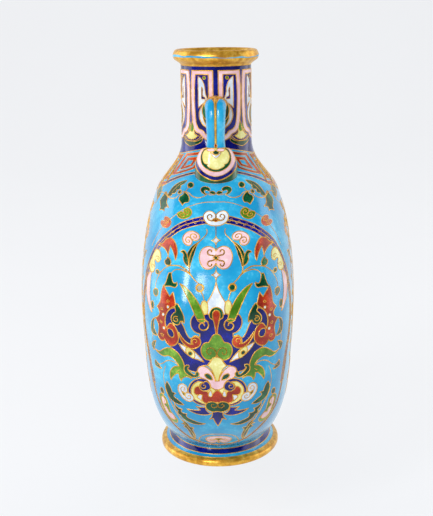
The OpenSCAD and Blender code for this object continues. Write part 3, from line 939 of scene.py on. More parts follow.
stroke([(23.4, 85.6), (26.6, 87.4), (30.2, 86.8), (33.2, 84.0), (37.0, 82.0)], (0.8, 1.0, 0.6))
stroke([(22.5, 83.0), (24.2, 81.6)], (0.6, 0.6))
cell("pink", both([(0, 81), (2.5, 81.4), (5.4, 84.3), (8.3, 85.8), (11.0, 84.9), (12.0, 82.2), (10.7, 79.0),
    (7.6, 77.0), (5.1, 75.2), (4.1, 72.6), (3.4, 70.2), (1.6, 69.3), (0, 69.6)]))
cell("primrose", both([(0, 91.6), (3.0, 90.3, C), (3.9, 88.4), (5.9, 86.0, C), (4.2, 84.7), (2.7, 82.0),
    (1.5, 79.0), (0.8, 76.2, C), (0, 75.9)]))
stroke([(1.1, 75.6), (2.6, 80.4), (5.6, 84.3)], (0.9, 0.9))
cell("dark_green", [(2.7, 76.6, C), (3.9, 79.6), (6.4, 80.9), (7.5, 80.2), (6.4, 78.0), (4.6, 76.9)])
cell("cobalt", [(0, 70, C), (3.9, 70.4, C), (4.4, 74.0), (7.0, 76.9), (11.0, 77.6), (15.0, 75.6),
    (17.4, 71.0), (16.8, 65.4), (13.6, 61.0), (9.6, 58.8, C), (0, 57, C)])
cell("primrose", [(0, 69, C), (8.8, 75.3, C), (12.2, 75.4), (15.0, 72.6), (15.9, 68.6), (14.5, 64.2),
    (11.6, 61.4), (7.4, 59.6, C), (0, 60, C)])
cell("red", [(0, 69.3), (2.0, 68.0), (3.4, 66.2, C), (5.3, 66.0, C), (6.0, 68.6), (8.6, 69.6), (10.4, 71.9),
    (12.2, 72.3), (13.9, 70.4), (13.5, 67.2), (11.4, 66.2, C), (9.0, 66.0, C), (9.4, 63.4), (8.4, 61.2),
    (4, 60, C), (0, 61, C)])
cell("white", [(4.1, 69.6, C), (3.2, 67.4), (3.2, 65.9), (4.3, 65.0), (5.4, 66.0), (5.0, 67.9)])
cell("white", [(9.0, 66.2, C), (11.2, 66.2), (12.2, 65.1), (10.9, 63.3), (9.5, 61.9, C), (9.4, 63.8)])
cell("cobalt", [(4.3, 73.2), (4.2, 71.0), (6.0, 69.3), (8.8, 69.3), (10.7, 71.2), (10.4, 73.8), (8.6, 74.9),
    (6.4, 75.6)])
stroke(spiral(8.2, 72.4, 2.3, 0.7, 100, -1.1), (1.1, 0.8), drawn=True)
BROW_CURL = [(12.9, 81.5), (11.9, 80.3), (13.6, 79.2), (16.4, 80.6), (18.6, 83.0), (18.5, 85.2), (16.9, 85.4)]
cell("dark_green", swell(BROW_CURL, [1.0, 1.1, 0.9, 1.2, 1.3, 1.1, 0.8]), drawn=True)
cell("dark_green", both([(0, 59.4, C), (1.6, 61.0), (4.1, 61.3), (6.8, 59.7), (6.9, 56.6), (4.6, 54.2),
    (0, 53.3)]))
line_pair((1.2, 0.9), [(0.2, 59.0), (0.8, 57.3), (2.6, 57.0), (3.8, 58.2), (3.2, 59.5), (2.1, 59.0)])
cell("cobalt", both([(0, 54, C), (3.4, 53.2, C), (3.3, 50.5), (5.3, 46.8, C), (2.7, 47.9, C), (1.9, 45.0),
    (0, 39.9, C)]))
cell("cobalt", [(3.6, 52.2, C), (7.5, 50.9), (12.2, 51.7), (18.6, 55.7, C), (13.6, 54.8), (10.2, 55.0, C),
    (13.1, 57.9, C), (9.6, 57.2), (7.1, 57.6, C), (6.6, 54.6)])

# flames, beads and curls beside the mask
cell("red", [(23.4, 121.8, C), (24.2, 124.6), (25.4, 129.8, C), (27.4, 126.8, C), (28.9, 129.0),
    (31.4, 133.2, C), (32.8, 127.6), (33.2, 123.0), (35.4, 119.6, C), (33.6, 116.6), (34.0, 114.4),
    (36.4, 112.4, C), (34.4, 108.6), (34.4, 104.8), (35.0, 102.4, C), (32.9, 99.0), (30.8, 100.4, C),
    (29.6, 98.0), (27.8, 97.0, C), (25.2, 97.8), (22.7, 100.8), (22.4, 105.0), (23.8, 108.9), (26.4, 111.1),
    (28.3, 109.4), (29.4, 107.2, C), (30.2, 111.6), (29.3, 116.2), (26.8, 119.8)])
cell("cobalt", [(26.4, 107.4), (25.0, 105.2), (25.6, 102.8), (27.6, 102.8), (28.8, 105.0), (28.4, 107.4)])
for curl in (spiral(32.1, 118.8, 1.0, 0.3, 200, 1.2), spiral(32.4, 110.6, 1.0, 0.3, 90, -1.2),
    spiral(32.3, 102.4, 1.1, 0.3, 20, 1.2),
             spiral(28.2, 123.8, 1.0, 0.3, -60, 1.2)):
    stroke(curl, (0.75, 0.5), drawn=True)
for bead in ((28.4, 120.4), (31.2, 115.4), (31.0, 107.2)):
    cell("white", oval(*bead, 0.75, 0.95), line=0.7 * LINE_R)
cell("dark_green", [(22.9, 123.5, C), (20.4, 119.8), (18.8, 115.8), (18.7, 112.2, C), (20.8, 113.2),
    (21.4, 111.6), (23.4, 110.7), (25.8, 112.0), (26.3, 115.0), (24.9, 117.4), (23.7, 118.6), (24.3, 121.2)])
stroke(spiral(23.5, 113.9, 2.0, 0.5, 120, -1.2), (1.0, 0.7), drawn=True)

# side vines
ruyi_head("white", (19.9, 66.9), 58, 5.7, 0.9, tall=0.66)
cell("dark_green", oval(20.3, 66.9, 0.75, 1.7, -32), 0.26)
stroke([(31.2, 83.2), (32.6, 77), (32.0, 70), (29.6, 62.0), (26.2, 54.0), (22.6, 45.6), (18.6, 37.4),
        (15.6, 28.4), (15.2, 23.6)], (0.7, 1.2, 0.8))
cell("dark_green", [(30.6, 72.8, C), (28.0, 68.4), (27.6, 66.6, C), (25.0, 66.0, C), (26.4, 64.2),
    (23.6, 61.6), (20.2, 58.6, C), (25.2, 58.8), (29.0, 61.8), (31.4, 66.6)], 0.3)
cell("dark_green", [(26.0, 58.6, C), (23.8, 55.6), (21.2, 55.0, C), (22.0, 52.8), (18.6, 51.6, C),
    (18.8, 48.6), (15.0, 45.6), (11.0, 43.2), (7.4, 42.4, C), (12.6, 41.2), (17.6, 43.2), (21.6, 47.2),
    (22.4, 49.4, C), (24.0, 50.6), (23.8, 53.2, C), (25.6, 55.4)], 0.3)
cell("dark_green", [(22.0, 45.4, C), (20.8, 42.4), (22.6, 40.4, C), (20.6, 39.4), (21.6, 37.0, C),
    (19.6, 35.6), (18.2, 31.4), (16.8, 25.6), (15.0, 20.8, C), (14.4, 26.2), (15.4, 32.2), (16.2, 35.4, C),
    (15.2, 37.2), (17.2, 37.8), (18.8, 41.6)], 0.3)
cell("dark_green", oval(33.6, 64.6, 1.1, 2.2, -15))
stroke([(33.2, 62.4), (32.2, 56)], (0.6, 0.6))
for colour, outline in (
    ("moss_green", [(34.6, 62.0), (31.6, 60.4), (30.0, 56.4), (28.9, 51.6), (26.6, 47.2), (24.8, 43.2),
        (25.8, 39.9), (28.4, 40.6), (31.6, 45.0), (33.4, 50.8), (35.0, 56.6)]),
    ("pink", [(33.6, 60.2), (31.8, 58.8), (31.2, 55.6, C), (32.4, 54.4), (30.8, 52.4), (29.8, 48.8, C),
              (28.0, 49.2, C), (26.4, 46.2), (26.4, 43.2), (28.6, 43.0), (31.2, 46.8), (32.6, 51.6),
              (34.0, 56.6)]),
):
    cell(colour, outline)
stroke([(37.4, 92.0), (38.6, 97.0), (38.4, 103.0), (36.8, 108.4)], (0.6, 1.0, 0.5))
cell("dark_green", [(36.4, 112.4, C), (37.6, 108.6), (37.0, 104.6), (35.4, 101.4, C), (38.4, 101.8),
    (39.4, 106.4), (38.4, 110.6)])
cell("dark_green", oval(38.2, 119.8, 0.9, 2.4))
cell("dark_green", swell([(37.6, 84.8), (36.2, 81.6), (33.8, 80.4)], [0.2, 1.5, 0.2]), drawn=True)
cell("dark_green", swell([(36.6, 97.6), (38.4, 94.8), (38.2, 91.4)], [0.2, 1.2, 0.2]), drawn=True)
cell("pink", swell([(39.6, 138.6), (41.0, 133.6), (41.4, 127.6), (40.6, 120.8), (38.6, 115.2)],
    [0.5, 1.3, 1.2, 1.2, 0.3]), drawn=True)

# foot of the panel
stroke(both([(0, 29.8), (6, 29.4), (9.6, 27.4), (11.6, 23.6), (12.2, 18.6), (12.6, 13.0)])[:6], (1.0, 1.0))
cell("pink", both([(0, 26.8), (4.4, 26.3), (7.6, 23.6), (7.5, 19.4), (5.2, 15.8), (2.8, 15.6), (1.3, 17.6, C),
    (0, 18.4, C)]))
stroke(spiral(4.0, 20.6, 1.8, 0.6, 150, -1.1), (0.8, 0.6), drawn=True)
cell("dark_green", both([(0, 23.6), (1.8, 23.2), (2.8, 21.4, C), (0.9, 21.2), (0.7, 15.4, C), (0, 15.0, C)]))

# ---- broad faces: a round medallion between the side panels ------------------------------------------

body.panel = as_drawn


def ring_outline(cx, cy, r, count=48):
    q = np.linspace(0, 2 * math.pi, count, endpoint=False)
    return np.column_stack([cx + r * np.cos(q), cy + r * np.sin(q)])


line_end = narrow([(35.5, 197)])[0]
reach = np.linspace(0, 1, 24)[1:]
along_u = line_end[0] + (1.08 - line_end[0]) * reach
along_v = line_end[1] - 8.5 * np.sin(reach * math.pi / 2)
broad_collar = np.column_stack([along_u, along_v])
cell("cobalt", np.vstack([broad_collar + [0, 0.75], broad_collar[::-1] - [0, 0.75]]), drawn=True)
for quad in (
    [(0.70, 229.5, C), (0.84, 229.5, C), (0.80, 197, C), (0.63, 200, C)],
    [(0.88, 229.5, C), (1.12, 229.5, C), (1.16, 195, C), (0.84, 195, C)],
):
    stretched = [(q[0] * QUARTER, q[1], C) for q in quad]
    for colour, share in (("red", 1.0), ("turquoise", 0.78), ("red", 0.60), ("turquoise", 0.36)):
        outline = smooth(shrunk(stretched, share)) / [QUARTER, 1]
        cell(colour, outline, drawn=True)

body.panel = broad
MEDAL = (0.0, 101.0)
cell("cobalt", ring_outline(*MEDAL, 37.0, 120), drawn=True)
cell("turquoise", ring_outline(*MEDAL, 32.4, 110), drawn=True)
for angle in range(-90, 91, 12):
    spot = (MEDAL[0] + 34.7 * math.cos(math.radians(angle)), MEDAL[1] + 34.7 * math.sin(math.radians(angle)))
    cell("white" if angle % 24 == 6 else "primrose", oval(*spot, 1.0), 0.26)


def round_medal(angle, r):
    """A place in the medallion, and the turn that points a shape outwards there."""
    q = math.radians(angle)
    return (MEDAL[0] + r * math.sin(q), MEDAL[1] + r * math.cos(q)), -angle


PETAL = [(0, 0, C), (2.1, 2.4), (3.2, 6.0), (2.6, 8.8), (0.9, 10.0), (0, 10.9, C), (-0.9, 10.0), (-2.6, 8.8),
         (-3.2, 6.0), (-2.1, 2.4)]
LEAF = [(0, 0, C), (1.5, 1.6), (2.0, 4.2), (3.4, 5.0, C), (1.9, 6.6), (1.2, 9.0), (0, 11.4, C), (-1.2, 8.2),
        (-2.7, 6.2, C), (-1.6, 4.4), (-1.3, 1.8)]
for k in range(9):
    angle = 22.5 * k
    at, turn = round_medal(angle, 7.6)
    cell("pink" if k % 2 else "white", placed(PETAL, at, turn, 1.0))
for k in range(8):
    at, turn = round_medal(22.5 * k + 11.25, 9.0)
    cell("dark_green", placed([(0, 5.6, C), (1.1, 7.4), (0, 10.6, C), (-1.1, 7.4)], at, turn, 0.9), 0.28)
cell("moss_green", ring_outline(*MEDAL, 9.2, 40), drawn=True)
cell("primrose", ring_outline(*MEDAL, 6.8, 36), drawn=True)
cell("red", ring_outline(*MEDAL, 4.0, 28), drawn=True)
for k, colour in enumerate(("moss_green", "red", "primrose", "red", "moss_green")):
    at, turn = round_medal(45 * k, 26.6)
    ruyi_head(colour, at, turn, 4.3, 0.8)
    at, turn = round_medal(45 * k, 23.4)
    stroke(placed([(0, 0), (0, -4.4)], at, turn), (0.9, 1.1))
    for flip in (False, True):
        if k in (0, 4) and flip:
            continue
        at, turn = round_medal(45 * k, 20.0)
        stem = placed([(0.2, 0), (3.4, 1.4), (5.8, 4.6), (7.6, 6.6), (9.6, 6.0), (9.4, 3.8), (7.9, 4.1)],
            at, turn, 1.0, flip)
        if min(p[0] for p in stem) > -1:
            stroke(stem, (0.9, 0.9, 0.7))
for k in range(4):
    at, turn = round_medal(22.5 + 45 * k, 20.6)
    cell("dark_green", placed(LEAF, at, turn, 0.9), 0.28)

# above and below the medallion
ruyi_head("white", (0, 147.0), 0, 6.6, 1.1)
cell("red", both([(0, 148.6, C), (1.1, 147.8), (2.3, 147.0, C), (1.0, 145.6), (0, 145.2)]), 0.26)
cell("cobalt", both([(0, 163.6, C), (1.5, 159.6), (4.8, 157.4), (8.4, 158.6, C), (6.6, 155.0), (3.4, 153.4),
    (0, 153.4)]))
cell("primrose", both([(0, 160.4, C), (1.4, 157.2), (0, 154.6)]), 0.28)
ruyi_head("pink", (0, 54.6), 180, 6.2, 1.1)
cell("dark_green", both([(0, 57.2), (1.3, 56.0), (2.6, 54.8, C), (0.9, 53.4), (0, 50.6, C)]), 0.26)
cell("cobalt", both([(0, 33.6, C), (2.2, 39.0), (6.4, 41.4, C), (4.6, 44.0), (9.4, 46.4, C), (4.8, 48.4),
    (0, 48.6)]))
cell("white", both([(0, 37.4, C), (1.5, 41.6), (1.0, 45.4), (0, 46.4)]), 0.28)
UPPER_VINE = [(7.0, 150.2), (13.0, 153.4), (19.5, 152.4), (25.5, 146.6), (31.5, 143.4), (37.5, 141.8),
    (42.6, 136.0), (46.2, 127.0)]
LOWER_VINE = [(6.6, 50.8), (12.4, 47.0), (19.4, 47.6), (26.0, 52.6), (33.0, 55.6), (40.0, 59.4), (45.2, 67.0),
    (47.2, 76.0)]
MID_VINE = [(46.2, 127.0), (46.6, 120.0), (44.6, 113.0), (43.0, 106.0), (43.2, 98.0), (45.4, 90.0),
            (47.4, 83.0), (47.2, 76.0)]
for vine in (UPPER_VINE, LOWER_VINE, MID_VINE):
    stroke(vine, (1.0, 1.2, 0.9))
for at, turn, size in (
    ((14.6, 153.6), -32, 1.0), ((24.6, 148.4), -8, 0.9), ((22.6, 149.4), -150, 0.85),
    ((34.6, 142.8), -24, 1.0),
    ((33.6, 142.6), 172, 0.8), ((43.4, 134.6), -58, 0.9), ((43.6, 133.2), 140, 0.8),
    ((46.2, 121.0), -70, 0.6),
    ((44.6, 113.6), -118, 0.7), ((44.8, 91.4), -62, 0.7), ((47.4, 82.6), -116, 0.6),
    ((14.2, 46.8), -150, 1.0),
    ((21.2, 48.4), -20, 0.85), ((28.8, 54.0), -152, 1.0), ((31.0, 55.0), 12, 0.8), ((41.2, 60.6), -126, 1.0),
    ((41.6, 61.4), 40, 0.8), ((47.0, 73.0), -96, 0.55),
):
    cell("dark_green", placed(LEAF, at, turn, size * 0.85), 0.3)
for at, turn, colour in (
    ((30.4, 152.6), -14, "primrose"), ((21.4, 161.8), -8, "red"), ((38.8, 148.8), -36, "pink"),
    ((30.4, 44.6), 158, "primrose"),
    ((20.6, 38.0), 172, "red"), ((40.4, 50.0), 150, "pink"), ((49.2, 101.6), -90, "moss_green"),
):
    ruyi_head(colour, at, turn, 3.4, 0.7, 0.3)
body.panel = narrow

# ---- the body's enamel: one drawn quarter, laid round four times -----------------------------------


def sheet_grid():
    """Inner points about GRID apart on the body itself."""
    rows = []
    for k, v in enumerate(np.arange(V_LOW + 1.3, V_HIGH - 1, GRID)):
        count = max(4, int(np.interp(v, RING_V, QUARTER_LENGTH) / GRID))
        shift = 0.5 if k % 2 else 0.0
        u = (np.arange(1, count) + shift - 0.25) / count
        rows.append(np.column_stack([u * QUARTER, np.full(len(u), v)]))
    return np.vstack(rows)


def hand_drift(u, v):
    """The painter's hand: no two quarters come out quite alike. Zero along the seams between them."""
    side = np.where(u < 0, -1.0, 1.0) * np.where(np.abs(u) > 1, 0.7, 1.0)
    share = np.clip(np.where(np.abs(u) > 1, 2 - np.abs(u), np.abs(u)), 0, 1)
    calm = np.sin(share * math.pi) * np.clip(v / 30, 0, 1) * np.clip((205 - v) / 30, 0, 1)
    along = calm * 0.0045 * np.sin(v / 9.0 + side * 1.3) + calm * 0.003 * np.sin(v / 23.0 + side)
    up = calm * 0.55 * np.sin(share * 21 + side * 1.1 + v / 31.0)
    return u + along, v + up


QUARTERS = (lambda f: f, lambda f: -f, lambda f: 2 - f, lambda f: f - 2)  # the drawn quarter, laid round


def build_body():
    scale = np.array([QUARTER, 1.0])
    cells = [(colour, outline * scale, line) for colour, outline, line in body.cells]
    verts, faces, top = cut_sheet(cells, np.array([0.0, V_LOW]), np.array([QUARTER, V_HIGH]), sheet_grid())
    flat_u, flat_v = verts[:, 0] / QUARTER, verts[:, 1]
    colours = sorted({colour for colour, _, _ in body.cells})
    colour_of = np.array([colours.index(colour) for colour, _, _ in body.cells])
    line_of = np.array([line for _, _, line in body.cells])
    group_of = np.arange(len(body.cells))
    for new, old in body.twins.items():
        group_of[new] = old
    all_u, all_v, all_faces, all_top = [], [], [], []
    for k, turn_u in enumerate(QUARTERS):
        all_u.append(turn_u(flat_u))
        all_v.append(flat_v)
        all_faces.append((faces if k in (0, 3) else faces[:, ::-1]) + k * len(verts))
        all_top.append(top)
    u, v = hand_drift(np.concatenate(all_u), np.concatenate(all_v))
    points = surface(u, v)
    first, same = close_points(points)
    faces = same[np.vstack(all_faces)]
    top = np.concatenate(all_top)
    whole = (faces[:, 0] != faces[:, 1]) & (faces[:, 1] != faces[:, 2]) & (faces[:, 0] != faces[:, 2])
    faces, top = faces[whole], top[whole]
    points, normals = points[first], outward(u[first], v[first])
    for index, colour in enumerate(colours):
        chosen = faces[colour_of[top] == index]
        piece = solid_patch("enamel_" + colour, points, chosen, ENAMEL_T, normals)
        piece.data.materials.append(ENAMELS[colour])
        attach(piece, "root")
    gild_body(points, normals, faces, group_of[top], line_of)


def gild_body(points, normals, faces, top, line_of):
    """Gilt wires along every boundary between cells, and the drawn lines."""
    edges, radius = drawn_edges(faces, top, line_of, len(points))
    drawn = radius > 0
    new_index = np.cumsum(drawn) - 1
    level = points[drawn] + normals[drawn] * (ENAMEL_T - WIRE_SINK * radius[drawn])[:, None]
    pieces_of(level, new_index[edges], radius[drawn] * WIRE_SPREAD, "gilt_outline")
    net_points, net_edges, net_radius = [], [], []
    count = 0
    for mirror in QUARTERS:
        for path, width in body.lines:
            if path[:, 0].max() > 1.02 or path[:, 0].min() < -0.06:
                path = path.copy()
                path[:, 0] = np.clip(path[:, 0], -0.06, 1.02)
            u, v = hand_drift(mirror(path[:, 0]), np.clip(path[:, 1], V_LOW, V_HIGH))
            net_points.append(surface(u, v) + outward(u, v) * (ENAMEL_T - WIRE_SINK * width)[:, None])
            net_edges.append(np.column_stack([np.arange(len(u) - 1), np.arange(1, len(u))]) + count)
            net_radius.append(width)
            count += len(u)
    pieces_of(np.vstack(net_points), np.vstack(net_edges),
              np.concatenate(net_radius) * WIRE_SPREAD, "gilt_stroke")


def pieces_of(points, edges, radius, name, limit=14000):
    """Splits a net of wires by height into pieces that are not too heavy."""
    middle = points[edges].mean(1)[:, 2]
    order = np.argsort(middle)
    parts = np.array_split(edges[order], max(1, math.ceil(len(edges) / limit)))
    for k, part in enumerate(parts):
        used, local = np.unique(part, return_inverse=True)
        piece = wire_piece(f"{name}_{k + 1}", points[used], local.reshape(part.shape), radius[used], WIRES)
        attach(piece, "root")


WIRE_SINK = 0.66  # a gilt line lies flat: it is sunk by this share of its half width
WIRE_SPREAD = 1.2
RIM_LINE = 0.24  # half width of the gilt line round a handle's plates
WIRES = wire_tree(LINE_GOLD)
build_body()

# ---- gilt lip and foot bead ---------------------------------------------------------------------------


def loft(name, sections, material, closed_ends=False):
    """A smooth skin through closed sections; it joins up with itself unless its ends are closed."""
    rows, m = len(sections), len(sections[0])
    points = np.vstack(sections)
    faces = []
    for i in range(rows - 1 if closed_ends else rows):
        for j in range(m):
            a, b = i * m + j, i * m + (j + 1) % m
            c, d = (i + 1) % rows * m + (j + 1) % m, (i + 1) % rows * m + j
            faces += [(a, b, c), (a, c, d)]
    if closed_ends:
        for base, flip in ((0, True), ((rows - 1) * m, False)):
            points = np.vstack([points, points[base : base + m].mean(0)])
            hub = len(points) - 1
            ring = [(hub, base + (j + 1) % m, base + j) for j in range(m)]
            faces += ring if flip else [f[::-1] for f in ring]
    faces = np.array(faces)
    a, b, c = (points[faces[:, k]] for k in range(3))
    if np.einsum("ij,ij->i", a, np.cross(b, c)).sum() < 0:
        faces = faces[:, ::-1]
    piece = make_mesh(name, points, faces)
    piece.data.materials.append(material)
    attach(piece, "root")
    return piece


def turned(profile, steps=160):
    """Sections round an oval ring, from a profile of [half thickness, half breadth, height]."""
    profile = np.array(profile, float)
    return [
        np.column_stack([profile[:, 0] * math.cos(q), profile[:, 1] * math.sin(q), profile[:, 2]])
        for q in np.linspace(0, 2 * math.pi, steps, endpoint=False)
    ]


LIP_ROLL = 3.8  # radius of the lip's rounded shoulder
BORE = NECK_R - 3.5


def lip_profile():
    """A flared mouth: a rounded shoulder outside, a thin crest, and a throat that narrows to the bore."""
    arc = np.radians(np.arange(-48, 31, 6))
    rising = [(0.0, 0.0), (0.4, 1.4), (2.0, 3.0)]
    outside = smooth([(NECK_R + r, LIP_SEAT + z) for r, z in rising], closed=False)
    shoulder = np.column_stack([LIP_R - LIP_ROLL + LIP_ROLL * np.cos(arc),
        TOTAL_H - LIP_ROLL + LIP_ROLL * np.sin(arc)])
    crest = [(0.9, -1.0), (1.7, -0.25), (2.6, 0.0), (3.5, -0.4), (4.7, -1.7), (6.4, -3.9)]
    inner = [(BORE + 0.8, LIP_SEAT + 4.4), (BORE + 0.15, LIP_SEAT + 2.6), (BORE, LIP_SEAT)]
    over = smooth([(LIP_R - r, TOTAL_H + z) for r, z in crest] + inner, closed=False, step=0.4)
    flat = np.vstack([outside, shoulder, over])
    return np.column_stack([flat[:, 0], flat])


lip_piece = loft("lip_gilt", turned(lip_profile()), GILT)
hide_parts("lip")
THROAT_LOW = BODY_TOP - 3.9
throat = [(BORE, LIP_SEAT), (BORE, THROAT_LOW), (NECK_R - 3.62, THROAT_LOW), (NECK_R - 3.62, LIP_SEAT)]
throat_piece = loft("throat_gilt", turned([(r, r, z) for r, z in throat]), GILT)

# Where the gilding has rubbed thin along the lip's edge, the turquoise shows.
WORN_R, WORN_ROOT_R = 3.86, 3.70  # just outside and just inside the lip's roll
worn = []
for q in np.linspace(0, 2 * math.pi, 240, endpoint=False):
    wide = 13 + 6.0 * math.sin(2 * q + 0.6) + 4.0 * math.sin(7 * q + 2) + 2.0 * math.sin(19 * q)
    low = -11 + 4 * math.sin(2 * q) + 2 * math.sin(11 * q)
    a = np.radians(np.linspace(low, low + max(wide, 4.0), 7))
    edge = np.column_stack([np.cos(a), np.sin(a)])
    ring = np.vstack([edge * WORN_R, edge[::-1] * WORN_ROOT_R]) + [LIP_R - LIP_ROLL, TOTAL_H - LIP_ROLL]
    worn.append(np.column_stack([ring[:, 0] * math.cos(q), ring[:, 0] * math.sin(q), ring[:, 1]]))
worn_piece = loft("lip_worn_edge", worn, ENAMELS["turquoise"])

bead = RIM_H / 2
arc = np.radians(np.arange(-90, 91, 9))
inset = np.concatenate([bead * (1 - np.cos(arc)) * 0.55, [4.4, 4.4]])
rise = np.concatenate([bead * (1 + np.sin(arc)), [RIM_H, 0.0]])
rim_piece = loft("foot_bead_gilt", turned(np.column_stack([FOOT_X - inset, FOOT_Y - inset, rise]), 200), GILT)
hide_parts("foot_rim")

# ---- handles --------------------------------------------------------------------------------------------

ROOT_Z = TOTAL_H - 36.5
ROOT_OUT = 33.0
SHIELD_TOP = TOTAL_H - 58.5
REACH = 42.0
STRAP_W, STRAP_T = 5.3, 5.4
STRAP_PATH = [
    [ROOT_OUT, ROOT_Z + 4.2], [ROOT_OUT + 6.4, ROOT_Z + 4.2], [REACH + 0.4, ROOT_Z + 2],
    [REACH + 0.4, ROOT_Z - 7],
    [REACH + 0.4, ROOT_Z - 12], [REACH - 0.4, SHIELD_TOP + 5], [REACH, SHIELD_TOP],
]
STRAP_MID = chain(STRAP_PATH, 40)


def strap_skin(x, s, h):
    """Point of the strap: x across (-1 to 1), s along (0 at the root, 1 at the shield), h out, as shares."""
    x, s, h = (np.asarray(q, float) for q in (x, s, h))
    place = np.clip(s, 0, 1) * (len(STRAP_MID) - 1)
    mid = [np.interp(place, np.arange(len(STRAP_MID)), STRAP_MID[:, k]) for k in range(2)]
    turn = np.radians(np.clip(s * 2, 0, 1) * 90)
    width = STRAP_W - 0.2 + 1.9 * (1 - s) ** 1.6 + 0.7 * s**8
    out = (h - 0.22) * (STRAP_T + 2.2 * (1 - s) ** 3)
    return np.stack([x * width, -(mid[0] + out * np.sin(turn)), mid[1] + out * np.cos(turn)], -1)


def lobe(x):
    x = np.clip(np.abs(x), 0, 1)
    return 0.72 * np.sqrt(1 - x**2.6) * (1 - 0.32 * (1 - np.minimum(1, x / 0.5)) ** 2)


def strap_core():
    across = np.sin(np.linspace(-math.pi / 2, math.pi / 2, 31))
    under = across[1:-1][::-1]
    sections = []
    for s in np.linspace(0, 1, 60):
        front = strap_skin(across, np.full(len(across), s), lobe(across) - 0.03)
        back = strap_skin(under, np.full(len(under), s), -0.12 - 0.18 * np.sqrt(1 - under**4))
        sections.append(np.vstack([front, back]))
    return sections


def shoulder_height(x, y):
    """Height of the body's shoulder over a plan point."""
    rings = RINGS[(RINGS[:, 2] > BODY_TOP - 60) & (RINGS[:, 2] <= BODY_TOP)]
    beyond = (abs(x) / rings[:, 0]) ** rings[:, 3] + (abs(y) / rings[:, 1]) ** rings[:, 3] > 1
    return rings[np.argmax(beyond), 2]


ANGLES = np.arange(0, 361, 5.0)
PETAL_W, PETAL_L = 13.1, 10.8  # half width and half length of the petal at the strap's foot


def petal(angle):
    s, c = np.sin(np.radians(angle)), np.cos(np.radians(angle))
    half_w = PETAL_W * (1 - 0.12 * np.maximum(0, -s) ** 1.5)
    half_l = PETAL_L * np.where(s > 0, 1, 0.85)
    return half_w * c, -(REACH - 3.9 + half_l * s)


PETAL_DROP = np.array([SHIELD_TOP - shoulder_height(*petal(q)) + 0.2 for q in ANGLES])
PETAL_DROP = np.convolve(np.r_[PETAL_DROP[-4:-1], PETAL_DROP, PETAL_DROP[1:4]], np.ones(3) / 3, "same")[3:-3]
FOOT_W = STRAP_W + 0.6


def shield_skin(angle, w):
    px, py = petal(angle)
    c, s = np.cos(np.radians(angle)), np.sin(np.radians(angle))
    open_out, down = np.sin(np.pi / 2 * w), 1 - np.cos(np.pi / 2 * w)
    tx, ty = FOOT_W * c, -(REACH + 0.5 * STRAP_T * s)
    drop = np.interp(angle % 360, ANGLES, PETAL_DROP)
    return np.stack([tx + (px - tx) * open_out, ty + (py - ty) * open_out, SHIELD_TOP - drop * down], -1)


SHIELD_SHEET = 16.0  # the petal's outline on its sheet is a circle of this radius


def shield_panel(points):
    """The shield seen from the front: x from its middle line, z above the table."""
    x, z = np.array(points, float).T
    angle = np.full(len(x), 60.0)
    for _ in range(40):
        drop = np.interp(angle, ANGLES, PETAL_DROP)
        w = np.arccos(np.clip(1 - (SHIELD_TOP - z) / drop, 0, 1)) / (math.pi / 2)
        reach = FOOT_W + (PETAL_W - FOOT_W) * np.sin(math.pi / 2 * w)
        angle = 0.5 * angle + 0.5 * np.degrees(np.arccos(np.clip(np.abs(x) / reach, 0, 0.9999)))
    angle = np.where(x < 0, 180 - angle, angle)
    return np.column_stack([w * np.cos(np.radians(angle)), w * np.sin(np.radians(angle))]) * SHIELD_SHEET


def shield_place(sheet):
    w = np.clip(np.hypot(sheet[:, 0], sheet[:, 1]) / SHIELD_SHEET, 0.02, 1)
    return shield_skin(np.degrees(np.arctan2(sheet[:, 1], sheet[:, 0])) % 360, w)


STRAP_SHEET = (6, 34)  # half width and length of the strap's drawing sheet


def strap_place(sheet):
    across, along = sheet[:, 0] / STRAP_SHEET[0], sheet[:, 1] / STRAP_SHEET[1]
    return strap_skin(across, along, lobe(across))


shield = Drawing()
shield.panel = as_drawn
shield.cell("dark_green", oval(0, 0, SHIELD_SHEET * 0.995))
shield.panel = shield_panel
U_BANDS = [
    ("cobalt", 0.46, [(0, 182.0), (6.6, 183.9), (11.1, 187.4), (12.9, 191.6), (12.6, 196.2), (10.4, 199.6),
        (6.8, 201.1)]),
    ("pink", 0.24, [(0, 184.6), (5.8, 186.2), (9.8, 189.4), (11.5, 193.2), (11.2, 197.0), (9.2, 200.0),
        (6.2, 201.3)]),
    ("dark_green", 0.24, [(0, 187.4), (5.0, 188.7), (8.2, 191.4), (9.3, 194.6), (8.9, 198.0), (7.3, 200.5),
        (5.2, 201.35)]),
    ("primrose", 0.24, [(0, 188.8, C), (3.4, 189.7), (5.2, 191.2), (4.7, 192.1, C), (6.7, 192.4),
        (8.0, 194.8), (7.8, 198.0), (6.2, 200.4), (4.6, 201.2)]),
]
for colour, line, half in U_BANDS:
    shield.cell(colour, [(0, 201.4)] + [(-p[0], *p[1:]) for p in half[::-1][:-1]] + half, line)
shield.cell("white", [(-3.4, 199.6, C), (-2.2, 197.2), (0, 195.6, C), (2.2, 197.2), (3.4, 199.6, C),
    (2.2, 198.4), (0, 197.0, C), (-2.2, 198.4)], 0.2)
shield.cell("dark_green", [(-1.8, 199.0), (0, 197.8, C), (1.8, 199.0), (0, 200.3, C)], 0.24)
for side in (1, -1):
    shield.cell("pink", [(side * q[0], q[1]) for q in [(0.5, 200.4), (2.6, 199.6), (4.8, 199.8), (5.4, 200.7),
        (3.6, 201.2), (1.4, 201.2)]], 0.24)

